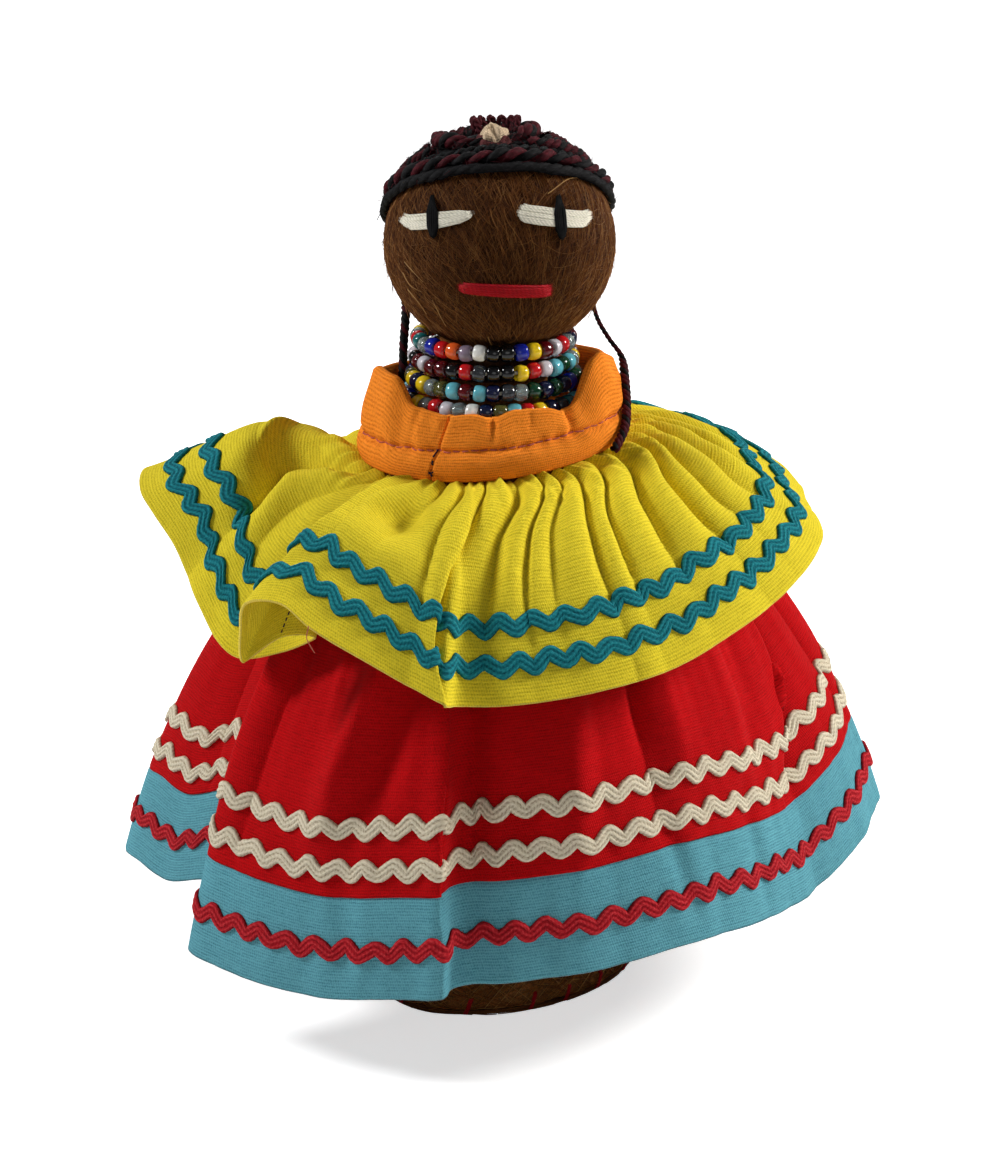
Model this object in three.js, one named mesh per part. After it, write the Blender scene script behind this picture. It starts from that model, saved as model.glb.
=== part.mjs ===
// A doll of palmetto fibre, standing on an oval base, in a cotton dress and cape.
// Millimetres, +Z up, the face towards -Y, the origin at the middle of the base's underside.

import * as THREE from 'three';

// Driving dimensions: fits
const FIT = 0.3; // gap between two pieces that touch
const CLOTH = 0.7; // thickness of the dress and cape cotton

// Driving dimensions: base and body
const BASE_LONG = 24.8; // half the base oval's length
const BASE_SHORT = 18.2; // half the base oval's width
const BASE_TURN = 37; // degrees the base oval is turned, its right end towards the back
const BASE_COVER = 0.9; // thickness of the fibre under the base
const BOARD_THICK = 1.6; // thickness of the cardboard in the base
const FIBRE = 0.9; // thickness of the fibre round body and head
const BELLY_LONG = 22.4; // half length of the body oval halfway up
const BELLY_SHORT = 19.4; // half width there
const BELLY_HEIGHT = 48;
const SHOULDER_LONG = 18.8; // half length of the body oval at the shoulder
const SHOULDER_SHORT = 16.2; // half width there
const SHOULDER_HEIGHT = 93;
const SHOULDER_ROUND = 6; // height that the rounded shoulder takes
const SHOULDER_FULL = 2; // how far its middle stands out
const NECK_RADIUS = 9; // body fibre drawn together to the neck
const NECK_SLOPE = 11; // height from the shoulder to the neck's foot
const NECK_FOOT = SHOULDER_HEIGHT + NECK_SLOPE;
const NECK_INSERT = 6; // length of the neck inside the head
const NECK_X = -2.5; // the neck leans a little to the doll's right

// Driving dimensions: head and face
const HEAD_WIDE = 18.9; // half the head's width and depth
const HEAD_TALL = 17.5; // half its height
const HEAD_X = -1.5;
const CHIN_RISE = 9.5; // height of the chin over the neck's foot
const HEAD_Z = NECK_FOOT + CHIN_RISE + HEAD_TALL;
const HEAD_SLEEVE = 6.4; // length of head fibre tied round the neck
const SLEEVE_START = 0.72 * HEAD_TALL; // depth where that fibre starts to move over to the neck
const SLEEVE_MOVE = 0.1 * HEAD_TALL; // depth that the move takes
const TIE_THREAD = 0.6; // diameter of the thread that ties the head on
const EYE_LONG = 0.69 * HEAD_WIDE; // length of a white eye
const EYE_TALL = 3.4;
const EYE_Z = HEAD_Z + 0.423 * HEAD_TALL;
const EYE_LEFT_X = HEAD_X - 0.524 * HEAD_WIDE; // middle of the eye at the picture's left
const EYE_RIGHT_X = HEAD_X + 0.508 * HEAD_WIDE;
const EYE_SLOPE = 0.09; // rise of the left eye towards the nose
const PUPIL_TALL = 7;
const PUPIL_WIDE = 2;
const PUPIL_LEFT_X = EYE_LEFT_X - 0.9;
const PUPIL_RIGHT_X = EYE_RIGHT_X + 0.3;
const MOUTH_LONG = 15.4;
const MOUTH_TALL = 2.2;
const MOUTH_X = -0.4;
const MOUTH_Z = HEAD_Z - 0.269 * HEAD_TALL;
const STITCH_PAD = 0.6; // height of a pad of satin stitches
const PAD_TOP = 0.6; // width of its top as a share of its foot
const PUPIL_EASE = 0.12; // share of a pupil's half height over which it comes down off the white

// Driving dimensions: hair
const HAIR_TILT = 30; // degrees the hair leans back from straight up
const HAIR_ROLL = 3; // degrees it leans to the doll's right
const HAIR_EDGE = 70; // degrees from the hair's middle to its edge
const HAIR_ROWS = 9; // rows of cord inside the edge cord
const HAIR_CORD = 1.6; // diameter of a cord in the hair
const HAIR_PITCH = 6.65; // degrees from row to row
const HAIR_ROOM = 0.5; // gap from a row's end to the cord of the topknot
const FLAT_ROOM = 0.15; // room for the flats of the faceted head
const BUN_TILT = 6; // degrees the topknot leans back from straight up
const BUN_ROLL = 7.5; // degrees it leans to the doll's right
const BUN_RADIUS = 0.418 * HEAD_WIDE; // middle of the cord that is coiled round the topknot
const BUN_CORD = 2.6;
const BUN_FRONT = 282; // degree of the topknot where the cotton shows between the cord's ends
const BUN_GAP = 34; // degrees from there to an end of the cord
const PICOT_ROLL = 2; // degrees the small loops lean to the doll's right
const PICOT_RADIUS = 0.19 * HEAD_WIDE; // middle of the row of small loops in the topknot
const PICOT_CORD = 1.1;
const PICOT_GAP = 58; // degrees from the topknot's front to the first small loop
const PICOT_LOOPS = 9;
const PICOT_RISE = 2.2; // height of a small loop
const PATCH_PLACE = 0.365 * HEAD_WIDE; // distance of the cream cotton from the topknot's middle
const PATCH_RADIUS = 2.4;
const PATCH_RISE = 3.2;

// Driving dimensions: necklaces
const BEAD = 2.85; // diameter of a bead
const BEAD_HOLE = 0.9; // diameter of the strung thread between two beads
const BEAD_PITCH = 2.25; // distance from bead to bead
const STRAND_RADII = [12.6, 13.0, 13.6, 14.4];
const STRAND_RISES = [11.2, 8, 4.8, 1.7]; // height of a strand over the neck's foot

// Driving dimensions: collar
const COLLAR_LONG = 22.4; // half the collar oval's length, at its outside
const COLLAR_SHORT = 19.6; // half its width
const COLLAR_SINK = 6.8; // depth of the lower edge below the neck's foot, at the sides
const COLLAR_FOOT = NECK_FOOT - COLLAR_SINK;
const COLLAR_SAG = 1.4; // how much lower that edge is in front
const COLLAR_THICK = 1.5; // folded cotton, four layers
const COLLAR_LEAN = 0.1; // rise of the collar towards the doll's left, for each millimetre
const COLLAR_FLARE = 0.3; // how far the band stands out below its stitches
const COLLAR_DRAWN = 2.2; // how far the upper edge is drawn in

// Upper edge of the collar: degrees round the neck from the doll's left, height above the lower edge
const COLLAR_EDGE = [
  [0, 11.4],
  [45, 12],
  [90, 12.6],
  [135, 12],
  [175, 13.4],
  [189, 15],
  [216, 15],
  [225, 10.8],
  [247, 9.6],
  [261, 9.9],
  [270, 8.9],
  [279, 10],
  [297, 9.2],
  [306, 7.6],
  [315, 9],
  [324, 14.4],
  [331, 15.2],
  [342, 14],
  [360, 11.4],
];

// Driving dimensions: dress
const DRESS_NECK_LONG = 19.9; // half the neck oval's length, at the cloth's middle
const DRESS_NECK_SHORT = 17.1;
const DRESS_NECK_DROP = 3.5; // depth of that oval below the collar's lower edge
const DRESS_NECK_RISE = 5; // height of the neck edge that stands up inside the collar
const DRESS_REACH = 0.7; // how far out the cloth runs before it falls
const DRESS_DROP = 0.3; // how far down it has come by then
const BAND_TALL = 17; // height of the hem band
const DRESS_RICKRACK_LOW = 21.4; // middle of the lower cream tape above the hem
const DRESS_RICKRACK_HIGH = 28.4;
const HEM_RICKRACK = 8.2;

// Driving dimensions: cape
const CAPE_NECK_LONG = 21.4;
const CAPE_NECK_SHORT = 18.6;
const CAPE_REACH = 0.56;
const CAPE_DROP = 0.03;
const CAPE_RICKRACK_LOW = 6.4;
const CAPE_RICKRACK_HIGH = 12.9;

// Driving dimensions: rickrack tape
const TAPE_WIDE = 3.1; // width of the tape, measured up the cloth
const TAPE_SWING = 1; // how far the tape swings up and down from its middle
const TAPE_THICK = 0.8;

// Driving dimensions: loose hair cords
const TAIL_THICK = 1.7;

// Hem of the dress, walked once round from the front: x, y, z and the degree of the neck oval
// that the cloth falls from
const DRESS_HEM = [
  [0, -46.5, 18.7, 270],
  [15, -44, 20, 284],
  [31.2, -37, 21.6, 300],
  [45, -24, 20.3, 318],
  [53.5, -12, 19.5, 333],
  [60, -3.5, 22.3, 343],
  [65, 4.5, 25.2, 352],
  [67.5, 12, 28, 362],
  [65.5, 22, 26.5, 373],
  [59, 32, 24, 385],
  [47, 39, 25, 398],
  [33, 47, 22, 412],
  [17, 49, 24, 428],
  [2, 53, 21, 444],
  [-14, 49, 23, 460],
  [-29, 50, 20, 475],
  [-43, 42, 22, 490],
  [-57, 35, 19, 503],
  [-66, 24, 19, 516],
  [-70, 11, 18, 528],
  [-66.5, 4.5, 18.3, 535],
  [-61, -2.5, 17.3, 541],
  [-53, -9.5, 20.5, 548],
  [-46.5, -16, 22, 555],
  [-49.5, -23.5, 18.3, 562],
  [-54.2, -28, 16.3, 568],
  [-49.5, -33.5, 15.6, 574],
  [-42, -38, 14.8, 581],
  [-31, -43, 14.4, 591],
  [-19, -47, 16, 603],
  [-11, -49.6, 17.3, 612],
  [-8.2, -46, 17.8, 620],
];
const DRESS_CORNERS = [7, 19, 23, 25, 30]; // rows of the hem that are corners, the first being 0

// Hem of the cape, walked once round from the back, with the Z-fold at the front left
const CAPE_HEM = [
  [2, 44, 83, 90],
  [-12, 41, 84.5, 106],
  [-27, 43, 86, 122],
  [-38, 35, 92, 138],
  [-49, 27, 91, 152],
  [-58, 14, 92.5, 166],
  [-62.5, 3, 91, 178],
  [-62.2, -3, 89, 184],
  [-59.6, -7, 86.2, 188],
  [-56, -11, 82.1, 192],
  [-53.7, -14, 77.8, 196],
  [-51.5, -18, 73.9, 201],
  [-48.4, -22, 69.2, 206],
  [-44.5, -24.3, 66.8, 210],
  [-37, -26, 68.5, 214],
  [-32, -28.8, 72, 218],
  [-36, -31.8, 73.2, 222],
  [-43.1, -32, 68.8, 226],
  [-43.3, -34.4, 75.6, 229],
  [-41.9, -37.4, 80.7, 232],
  [-36, -41, 81.9, 236],
  [-31.1, -44, 78.8, 240],
  [-21, -47, 73.4, 247],
  [-15, -48.7, 70.4, 252],
  [-9.6, -50.3, 68, 258],
  [-7.6, -47, 66.8, 262],
  [0, -46.8, 66.8, 268],
  [14, -45, 68.5, 280],
  [26, -39.5, 70.3, 294],
  [36, -32, 73.6, 308],
  [45.8, -21, 77.3, 322],
  [53, -8, 82.4, 338],
  [51.6, 3, 85.5, 352],
  [50.5, 12, 87, 365],
  [45.5, 22, 89.5, 380],
  [38, 31, 90.5, 396],
  [27, 36, 91.5, 412],
  [15, 43, 88, 430],
];
const CAPE_CORNERS = [6, 13, 15, 17, 19, 24, 31];

const CLOTH_STATIONS = 54; // meridians of a sheet of cloth
const WAVES_PER_FACET = 1.5; // waves of rickrack between two meridians
const degrees = (angle) => THREE.MathUtils.degToRad(angle);
const vec = (x, y, z) => new THREE.Vector3(x, y, z);

// Materials

function finish(red, green, blue, roughness) {
  const color = new THREE.Color().setRGB(red, green, blue, THREE.SRGBColorSpace);
  return new THREE.MeshStandardMaterial({ color, roughness, metalness: 0 });
}

const fibreBrown = finish(0.35, 0.21, 0.08, 0.9);
const edgeBrown = finish(0.2, 0.12, 0.06, 0.85);
const cardboardTan = finish(0.62, 0.5, 0.36, 0.95);
const cottonCream = finish(0.84, 0.78, 0.66, 0.95);
const threadWhite = finish(0.9, 0.88, 0.8, 0.5);
const threadBlack = finish(0.05, 0.05, 0.06, 0.6);
const threadRed = finish(0.75, 0.05, 0.08, 0.5);
const cordBlack = finish(0.06, 0.06, 0.07, 0.6);
const cordMaroon = finish(0.36, 0.05, 0.1, 0.6);
const clothOrange = finish(0.94, 0.54, 0.16, 0.85);
const clothYellow = finish(0.82, 0.76, 0.2, 0.85);
const clothRed = finish(0.72, 0.05, 0.08, 0.85);
const clothTurquoise = finish(0.33, 0.62, 0.7, 0.85);
const tapeTeal = finish(0.07, 0.48, 0.48, 0.8);
const tapeCream = finish(0.85, 0.8, 0.7, 0.85);
const tapeRed = finish(0.62, 0.09, 0.19, 0.8);
const beadGlass = [
  finish(0.1, 0.2, 0.6, 0.2),
  finish(0.65, 0.06, 0.08, 0.2),
  finish(0.3, 0.62, 0.66, 0.2),
  finish(0.85, 0.75, 0.1, 0.2),
];

// Geometry shared by the pieces

// Turns a geometry's faces so that they point out of its solid.
function facingOut(geometry) {
  const p = geometry.getAttribute('position');
  const index = geometry.getIndex().array;
  const corner = [vec(), vec(), vec()];
  let volume = 0;
  for (let i = 0; i < index.length; i += 3) {
    corner.forEach((c, k) => c.fromBufferAttribute(p, index[i + k]));
    volume += corner[0].dot(corner[1].clone().cross(corner[2]));
  }
  if (volume < 0) {
    for (let i = 0; i < index.length; i += 3) {
      [index[i], index[i + 1]] = [index[i + 1], index[i]];
    }
  }
  geometry.computeVertexNormals();
  return geometry;
}

// A closed skin over rings of equal count: round in a loop, or with both ends filled by fans.
function skin(rings, endless) {
  const count = rings[0].length;
  const points = rings.flat();
  const index = [];
  const links = endless ? rings.length : rings.length - 1;
  for (let i = 0; i < links; i++) {
    const here = i * count;
    const next = ((i + 1) % rings.length) * count;
    for (let j = 0; j < count; j++) {
      const k = (j + 1) % count;
      index.push(here + j, next + j, next + k);
      index.push(here + j, next + k, here + k);
    }
  }
  if (!endless) {
    for (const end of [0, rings.length - 1]) {
      const middle = points.length;
      const sum = rings[end].reduce((total, p) => total.add(p), vec(0, 0, 0));
      points.push(sum.divideScalar(count));
      for (let j = 0; j < count; j++) {
        const a = end * count + j;
        const b = end * count + ((j + 1) % count);
        index.push(...(end === 0 ? [middle, a, b] : [middle, b, a]));
      }
    }
  }
  const geometry = new THREE.BufferGeometry().setFromPoints(points);
  geometry.setIndex(index);
  return facingOut(geometry);
}

// A solid turned round its axis from a profile of radius and height.
function turned(profile, sides) {
  return facingOut(new THREE.LatheGeometry(profile, sides));
}

// A round section in the plane of two directions.
function circle(middle, across, up, radius, sides) {
  return Array.from({ length: sides }, (_, i) => {
    const angle = (2 * Math.PI * i) / sides;
    return middle
      .clone()
      .addScaledVector(across, radius * Math.cos(angle))
      .addScaledVector(up, radius * Math.sin(angle));
  });
}

// A closed spline through rows of numbers, spaced by the root of the distance in x, y and z.
function closedSpline(rows, lap) {
  const count = rows.length;
  const row = (i) => {
    const turns = Math.floor(i / count);
    const values = [...rows[i - turns * count]];
    values[3] += turns * lap;
    return values;
  };
  const gap = (a, b) => Math.sqrt(Math.hypot(b[0] - a[0], b[1] - a[1], b[2] - a[2]));
  return (position) => {
    const i = Math.floor(position);
    const t = position - i;
    const [p0, p1, p2, p3] = [row(i - 1), row(i), row(i + 1), row(i + 2)];
    const [d0, d1, d2] = [gap(p0, p1), gap(p1, p2), gap(p2, p3)];
    return p1.map((_, k) => {
      const out = (p1[k] - p0[k]) / d0 - (p2[k] - p0[k]) / (d0 + d1) + (p2[k] - p1[k]) / d1;
      const into = (p2[k] - p1[k]) / d1 - (p3[k] - p1[k]) / (d1 + d2) + (p3[k] - p2[k]) / d2;
      const m1 = out * d1;
      const m2 = into * d1;
      const rise = p2[k] - p1[k];
      return p1[k] + m1 * t + (3 * rise - 2 * m1 - m2) * t * t + (m1 + m2 - 2 * rise) * t ** 3;
    });
  };
}

// Positions on the spline that are the same length of hem apart; the nearest moves to a corner.
function evenPositions(spline, count, rows, corners) {
  const steps = rows * 24;
  const lengths = [0];
  let before = spline(0);
  for (let i = 1; i <= steps; i++) {
    const here = spline((i * rows) / steps);
    lengths.push(lengths[i - 1] + Math.hypot(...[0, 1, 2].map((k) => here[k] - before[k])));
    before = here;
  }
  const positions = Array.from({ length: count }, (_, i) => {
    const wanted = (lengths[steps] * i) / count;
    const after = lengths.findIndex((length) => length > wanted);
    const part = (wanted - lengths[after - 1]) / (lengths[after] - lengths[after - 1]);
    return ((after - 1 + part) * rows) / steps;
  });
  corners.forEach((corner) => {
    const away = positions.map((position) => Math.abs(position - corner));
    positions[away.indexOf(Math.min(...away))] = corner;
  });
  return positions;
}

// Points along a line, at given distances from its first point.
function pointsAt(line, distances) {
  const lengths = [0];
  line.slice(1).forEach((p, i) => lengths.push(lengths[i] + p.distanceTo(line[i])));
  const whole = lengths[lengths.length - 1];
  return distances.map((distance) => {
    const wanted = Math.min(distance, whole);
    const after = Math.max(1, lengths.findIndex((length) => length >= wanted - 1e-9));
    const part = (wanted - lengths[after - 1]) / (lengths[after] - lengths[after - 1]);
    return line[after - 1].clone().lerp(line[after], part);
  });
}

// How far an angle round the neck faces forward: 1 in front and 0 at the sides and behind.
const frontShare = (angle) => Math.max(0, -Math.sin(angle)) ** 2;

// A sheet of cloth that falls from a neck oval to a hem: its meridians, from the hem up.
function drape(hem, corners, neck, reach, drop) {
  const spline = closedSpline(hem, 360);
  const bend = 20;
  return evenPositions(spline, CLOTH_STATIONS, hem.length, corners).map((position) => {
    const [x, y, z, degree] = spline(position);
    const angle = degrees(degree);
    const top = vec(
      NECK_X + neck.long * Math.cos(angle),
      neck.short * Math.sin(angle),
      neck.z + COLLAR_LEAN * neck.long * Math.cos(angle) - neck.sag * frontShare(angle),
    );
    const edge = vec(x, y, z);
    const knee = top.clone().lerp(edge, reach);
    knee.z = top.z + (edge.z - top.z) * drop;
    const fall = new THREE.QuadraticBezierCurve3(edge, knee, top);
    return fall.getPoints(bend);
  });
}

// Rows of grid points at given heights above the hem, then evenly up to the neck.
function clothGrid(meridians, heights, rowsAbove) {
  return meridians.map((line) => {
    const length = line.slice(1).reduce((sum, p, i) => sum + p.distanceTo(line[i]), 0);
    const last = heights[heights.length - 1];
    const above = Array.from({ length: rowsAbove }, (_, i) => {
      return last + ((length - last) * (i + 1)) / rowsAbove;
    });
    return pointsAt(line, [...heights, ...above]);
  });
}

// Outward direction of a grid at each of its points.
function gridNormals(grid) {
  const count = grid.length;
  return grid.map((line, i) =>
    line.map((_, j) => {
      const along = grid[(i + 1) % count][j].clone().sub(grid[(i + count - 1) % count][j]);
      const up = line[Math.min(j + 1, line.length - 1)].clone().sub(line[Math.max(j - 1, 0)]);
      return along.cross(up).normalize();
    }),
  );
}

// The solid between a grid and its copy moved inward by a thickness.
function clothSolid(grid, normals, from, to, thickness) {
  const sections = grid.map((line, i) => {
    const outer = line.slice(from, to + 1);
    const inner = outer.map((p, j) => p.clone().addScaledVector(normals[i][from + j], -thickness));
    return [...outer, ...inner.reverse()];
  });
  return skin(sections, true);
}

// A point of the cloth's outer face at a fractional meridian and a height above the hem.
function onCloth(grid, heights, station, height) {
  const i = Math.floor(station) % grid.length;
  const across = station - Math.floor(station);
  const j = heights.findIndex((h, k) => k > 0 && h >= height) - 1;
  const up = (height - heights[j]) / (heights[j + 1] - heights[j]);
  const next = (i + 1) % grid.length;
  const [a, b, c, d] = [grid[i][j], grid[next][j], grid[next][j + 1], grid[i][j + 1]];
  // Each facet is split from its first corner to the one across.
  const corners = across >= up ? [a, b, c] : [a, c, d];
  const weights = across >= up ? [1 - across, across - up, up] : [1 - up, across, up - across];
  const point = vec(0, 0, 0);
  corners.forEach((corner, k) => point.addScaledVector(corner, weights[k]));
  const edge1 = corners[1].clone().sub(corners[0]);
  const edge2 = corners[2].clone().sub(corners[0]);
  return { point, normal: edge1.cross(edge2).normalize() };
}

// Rickrack: a flat tape that swings up and down once for every wave, sewn on the cloth.
function rickrack(grid, heights, middle, lift) {
  const perFacet = 2 * WAVES_PER_FACET;
  const sections = [];
  for (let n = 0; n < grid.length * perFacet; n++) {
    const station = n / perFacet;
    const height = middle + (n % 2 ? TAPE_SWING : -TAPE_SWING);
    const low = onCloth(grid, heights, station, height - TAPE_WIDE / 2);
    const crown = onCloth(grid, heights, station, height);
    const high = onCloth(grid, heights, station, height + TAPE_WIDE / 2);
    sections.push([
      low.point.addScaledVector(low.normal, lift),
      high.point.addScaledVector(high.normal, lift),
      crown.point.addScaledVector(crown.normal, lift + TAPE_THICK),
    ]);
  }
  return skin(sections, true);
}

// Base and body

// The body's oval at a height: turned like the base at the foot and square to the face above.
function bodyOval(height, long, short, sides) {
  const share = Math.min(1, height / SHOULDER_HEIGHT);
  const turn = degrees(BASE_TURN * (1 - share));
  return Array.from({ length: sides }, (_, i) => {
    const angle = (2 * Math.PI * i) / sides;
    const away = angle - turn;
    const reach = 1 / Math.hypot(Math.cos(away) / long, Math.sin(away) / short);
    return vec(NECK_X * share + reach * Math.cos(angle), reach * Math.sin(angle), height);
  });
}

// Heights and half sizes of the body from its foot to its neck, drawn in by a wall.
function bodyStations(foot, top, inward) {
  const shoulderTop = SHOULDER_HEIGHT + SHOULDER_ROUND;
  const halfway = (BELLY_HEIGHT + SHOULDER_HEIGHT) / 2;
  const mean = (a, b) => (a + b) / 2;
  const full = (half) => mean(half, NECK_RADIUS) + SHOULDER_FULL;
  const rows = [
    [foot, BASE_LONG, BASE_SHORT],
    [BELLY_HEIGHT / 3, BASE_LONG, mean(BASE_SHORT, BELLY_SHORT)],
    [BELLY_HEIGHT, BELLY_LONG, BELLY_SHORT],
    [halfway, mean(BELLY_LONG, SHOULDER_LONG), mean(BELLY_SHORT, SHOULDER_SHORT)],
    [SHOULDER_HEIGHT, SHOULDER_LONG, SHOULDER_SHORT],
    [shoulderTop, full(SHOULDER_LONG), full(SHOULDER_SHORT)],
    [NECK_FOOT, NECK_RADIUS, NECK_RADIUS],
    [top, NECK_RADIUS, NECK_RADIUS],
  ];
  return rows.map(([z, long, short]) => [z, long - inward, short - inward]);
}

const BODY_SIDES = 22;
const NECK_TOP = NECK_FOOT + CHIN_RISE + NECK_INSERT;

function baseCover() {
  return skin([bodyOval(0, BASE_LONG, BASE_SHORT, BODY_SIDES),
    bodyOval(BASE_COVER, BASE_LONG, BASE_SHORT, BODY_SIDES)], false);
}

function baseBoard() {
  const inward = FIBRE + FIT;
  const foot = BASE_COVER + FIT;
  return skin([bodyOval(foot, BASE_LONG - inward, BASE_SHORT - inward, BODY_SIDES),
    bodyOval(foot + BOARD_THICK, BASE_LONG - inward, BASE_SHORT - inward, BODY_SIDES)], false);
}

function bodyCover() {
  const foot = BASE_COVER + FIT;
  const outer = bodyStations(foot, NECK_TOP, 0).map((row) => bodyOval(...row, BODY_SIDES));
  const inner = bodyStations(foot, NECK_TOP, FIBRE).map((row) => bodyOval(...row, BODY_SIDES));
  return skin([...outer, ...inner.reverse()], true);
}

function bodyStuffing() {
  const foot = BASE_COVER + BOARD_THICK + 2 * FIT;
  const rows = bodyStations(foot, NECK_TOP - FIT, FIBRE + 2 * FIT);
  return skin(rows.map((row) => bodyOval(...row, BODY_SIDES)), false);
}

// Head and face

const headPlace = vec(HEAD_X, 0, HEAD_Z);
const HEAD_SIDES = 22;
const SLEEVE_INNER = NECK_RADIUS + FIT;
const SLEEVE_OUTER = SLEEVE_INNER + FIBRE;

// Points of the head's outline, from the crown down to a radius near the neck.
function headOutline(inward, radius, steps) {
  const wide = HEAD_WIDE - inward;
  const tall = HEAD_TALL - inward;
  const end = Math.PI - Math.asin(radius / wide);
  return Array.from({ length: steps + 1 }, (_, i) => {
    const angle = (end * i) / steps;
    return new THREE.Vector2(wide * Math.sin(angle), tall * Math.cos(angle));
  });
}

// Moves the ring of a sleeve from the head's own axis to the neck's.
function overNeck(geometry) {
  const p = geometry.getAttribute('position');
  for (let i = 0; i < p.count; i++) {
    const moved = THREE.MathUtils.clamp((-p.getY(i) - SLEEVE_START) / SLEEVE_MOVE, 0, 1);
    p.setX(i, p.getX(i) + moved * (NECK_X - HEAD_X));
  }
  return geometry;
}

function headCover() {
  const outer = headOutline(0, SLEEVE_OUTER, 11);
  const inner = headOutline(FIBRE, SLEEVE_INNER, 8);
  const lip = outer[outer.length - 1].y - HEAD_SLEEVE;
  const profile = [
    ...outer,
    new THREE.Vector2(SLEEVE_OUTER, lip),
    new THREE.Vector2(SLEEVE_INNER, lip),
    ...inner.reverse(),
  ];
  profile[0].x = 0;
  profile[profile.length - 1].x = 0;
  return overNeck(turned(profile, HEAD_SIDES)).rotateX(Math.PI / 2);
}

function headStuffing() {
  const foot = NECK_TOP + FIT - HEAD_Z;
  const inward = FIBRE + 2 * FIT;
  const radius = (HEAD_WIDE - inward) * Math.sqrt(1 - (foot / (HEAD_TALL - inward)) ** 2);
  const profile = headOutline(inward, radius, 7);
  profile[0].x = 0;
  profile.push(new THREE.Vector2(0, profile[profile.length - 1].y));
  return turned(profile, HEAD_SIDES).rotateX(Math.PI / 2);
}

function neckTie() {
  const lip = -HEAD_TALL * Math.sqrt(1 - (SLEEVE_OUTER / HEAD_WIDE) ** 2) - HEAD_SLEEVE;
  const tie = new THREE.TorusGeometry(SLEEVE_OUTER + FIT + TIE_THREAD / 2, TIE_THREAD / 2, 5, HEAD_SIDES);
  return tie.translate(0, 0, lip + TIE_THREAD);
}

// A point in front of the head, lifted off its fibre.
function onFace(x, z, lift) {
  const wide = HEAD_WIDE + lift;
  const tall = HEAD_TALL + lift;
  const dx = x - HEAD_X;
  const dz = z - HEAD_Z;
  return vec(x, -wide * Math.sqrt(1 - (dx / wide) ** 2 - (dz / tall) ** 2), z);
}

// A pad of stitches, pointed or blunt at its ends, along or up the face.
function stitchPad(x, z, length, width, { upright = false, slope = 0, blunt = 0.3, lift = () => FIT }) {
  const steps = 7;
  const rings = [];
  for (let i = 0; i <= steps; i++) {
    const along = -1 + (2 * i) / steps;
    const half = (width / 2) * Math.max(blunt, Math.sqrt(1 - along ** 2));
    const ring = [[-1, 0], [1, 0], [PAD_TOP, STITCH_PAD], [-PAD_TOP, STITCH_PAD]].map(([side, high]) => {
      const run = (along * length) / 2;
      const px = upright ? x + side * half : x + run;
      const pz = upright ? z + run : z + side * half + slope * run;
      return onFace(px, pz, lift(along) + high);
    });
    rings.push(ring);
  }
  return skin(rings, false);
}

// A pupil is stitched over the white of its eye, and sinks to the fibre above and below it.
const overWhite = (along) => {
  const white = EYE_TALL / PUPIL_TALL + PUPIL_EASE;
  const sink = THREE.MathUtils.smoothstep(Math.abs(along), white, 1);
  return FIT + (STITCH_PAD + FIT) * (1 - sink);
};

// Hair

// Directions of a part of the hair, whose middle leans back and to the doll's right.
function crownFrame(tilt, roll) {
  const axis = vec(0, 0, 1)
    .applyAxisAngle(vec(1, 0, 0), -degrees(tilt))
    .applyAxisAngle(vec(0, 1, 0), -degrees(roll));
  const side = vec(0, 1, 0).cross(axis).normalize();
  return { axis, side, back: axis.clone().cross(side) };
}

const hair = crownFrame(HAIR_TILT, HAIR_ROLL);
const bun = crownFrame(BUN_TILT, BUN_ROLL);
const loops = crownFrame(BUN_TILT, PICOT_ROLL);

// A place on the head by its angle from a frame's middle and round it, lifted off the fibre.
function onHead(frame, fromMiddle, round, lift) {
  const out = frame.axis
    .clone()
    .multiplyScalar(Math.cos(fromMiddle))
    .addScaledVector(frame.side, Math.sin(fromMiddle) * Math.cos(round))
    .addScaledVector(frame.back, Math.sin(fromMiddle) * Math.sin(round));
  const reach = 1 / Math.hypot(out.x / HEAD_WIDE, out.y / HEAD_WIDE, out.z / HEAD_TALL);
  const normal = vec(out.x / HEAD_WIDE ** 2, out.y / HEAD_WIDE ** 2, out.z / HEAD_TALL ** 2);
  const point = out.multiplyScalar(reach).addScaledVector(normal.normalize(), lift);
  return { point: point.add(headPlace), normal };
}

const HAIR_SEAT = FIT + FLAT_ROOM; // height of the cords' underside over the fibre
const BUN_REACH = BUN_RADIUS / HEAD_WIDE; // angle from the topknot's middle to its cord

// A cord laid on the head along a place for each angle round a frame's middle.
function headCord(place, first, last, steps, radius, sides) {
  const endless = last - first >= 2 * Math.PI;
  const spans = endless ? steps : steps - 1;
  const sections = Array.from({ length: steps }, (_, i) => {
    const round = first + ((last - first) * i) / spans;
    const { point, normal } = place(round);
    const ahead = place(round + 0.01).point.sub(point);
    const across = ahead.cross(normal).normalize();
    return circle(point, across, normal, radius, sides);
  });
  return skin(sections, endless);
}

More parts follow.
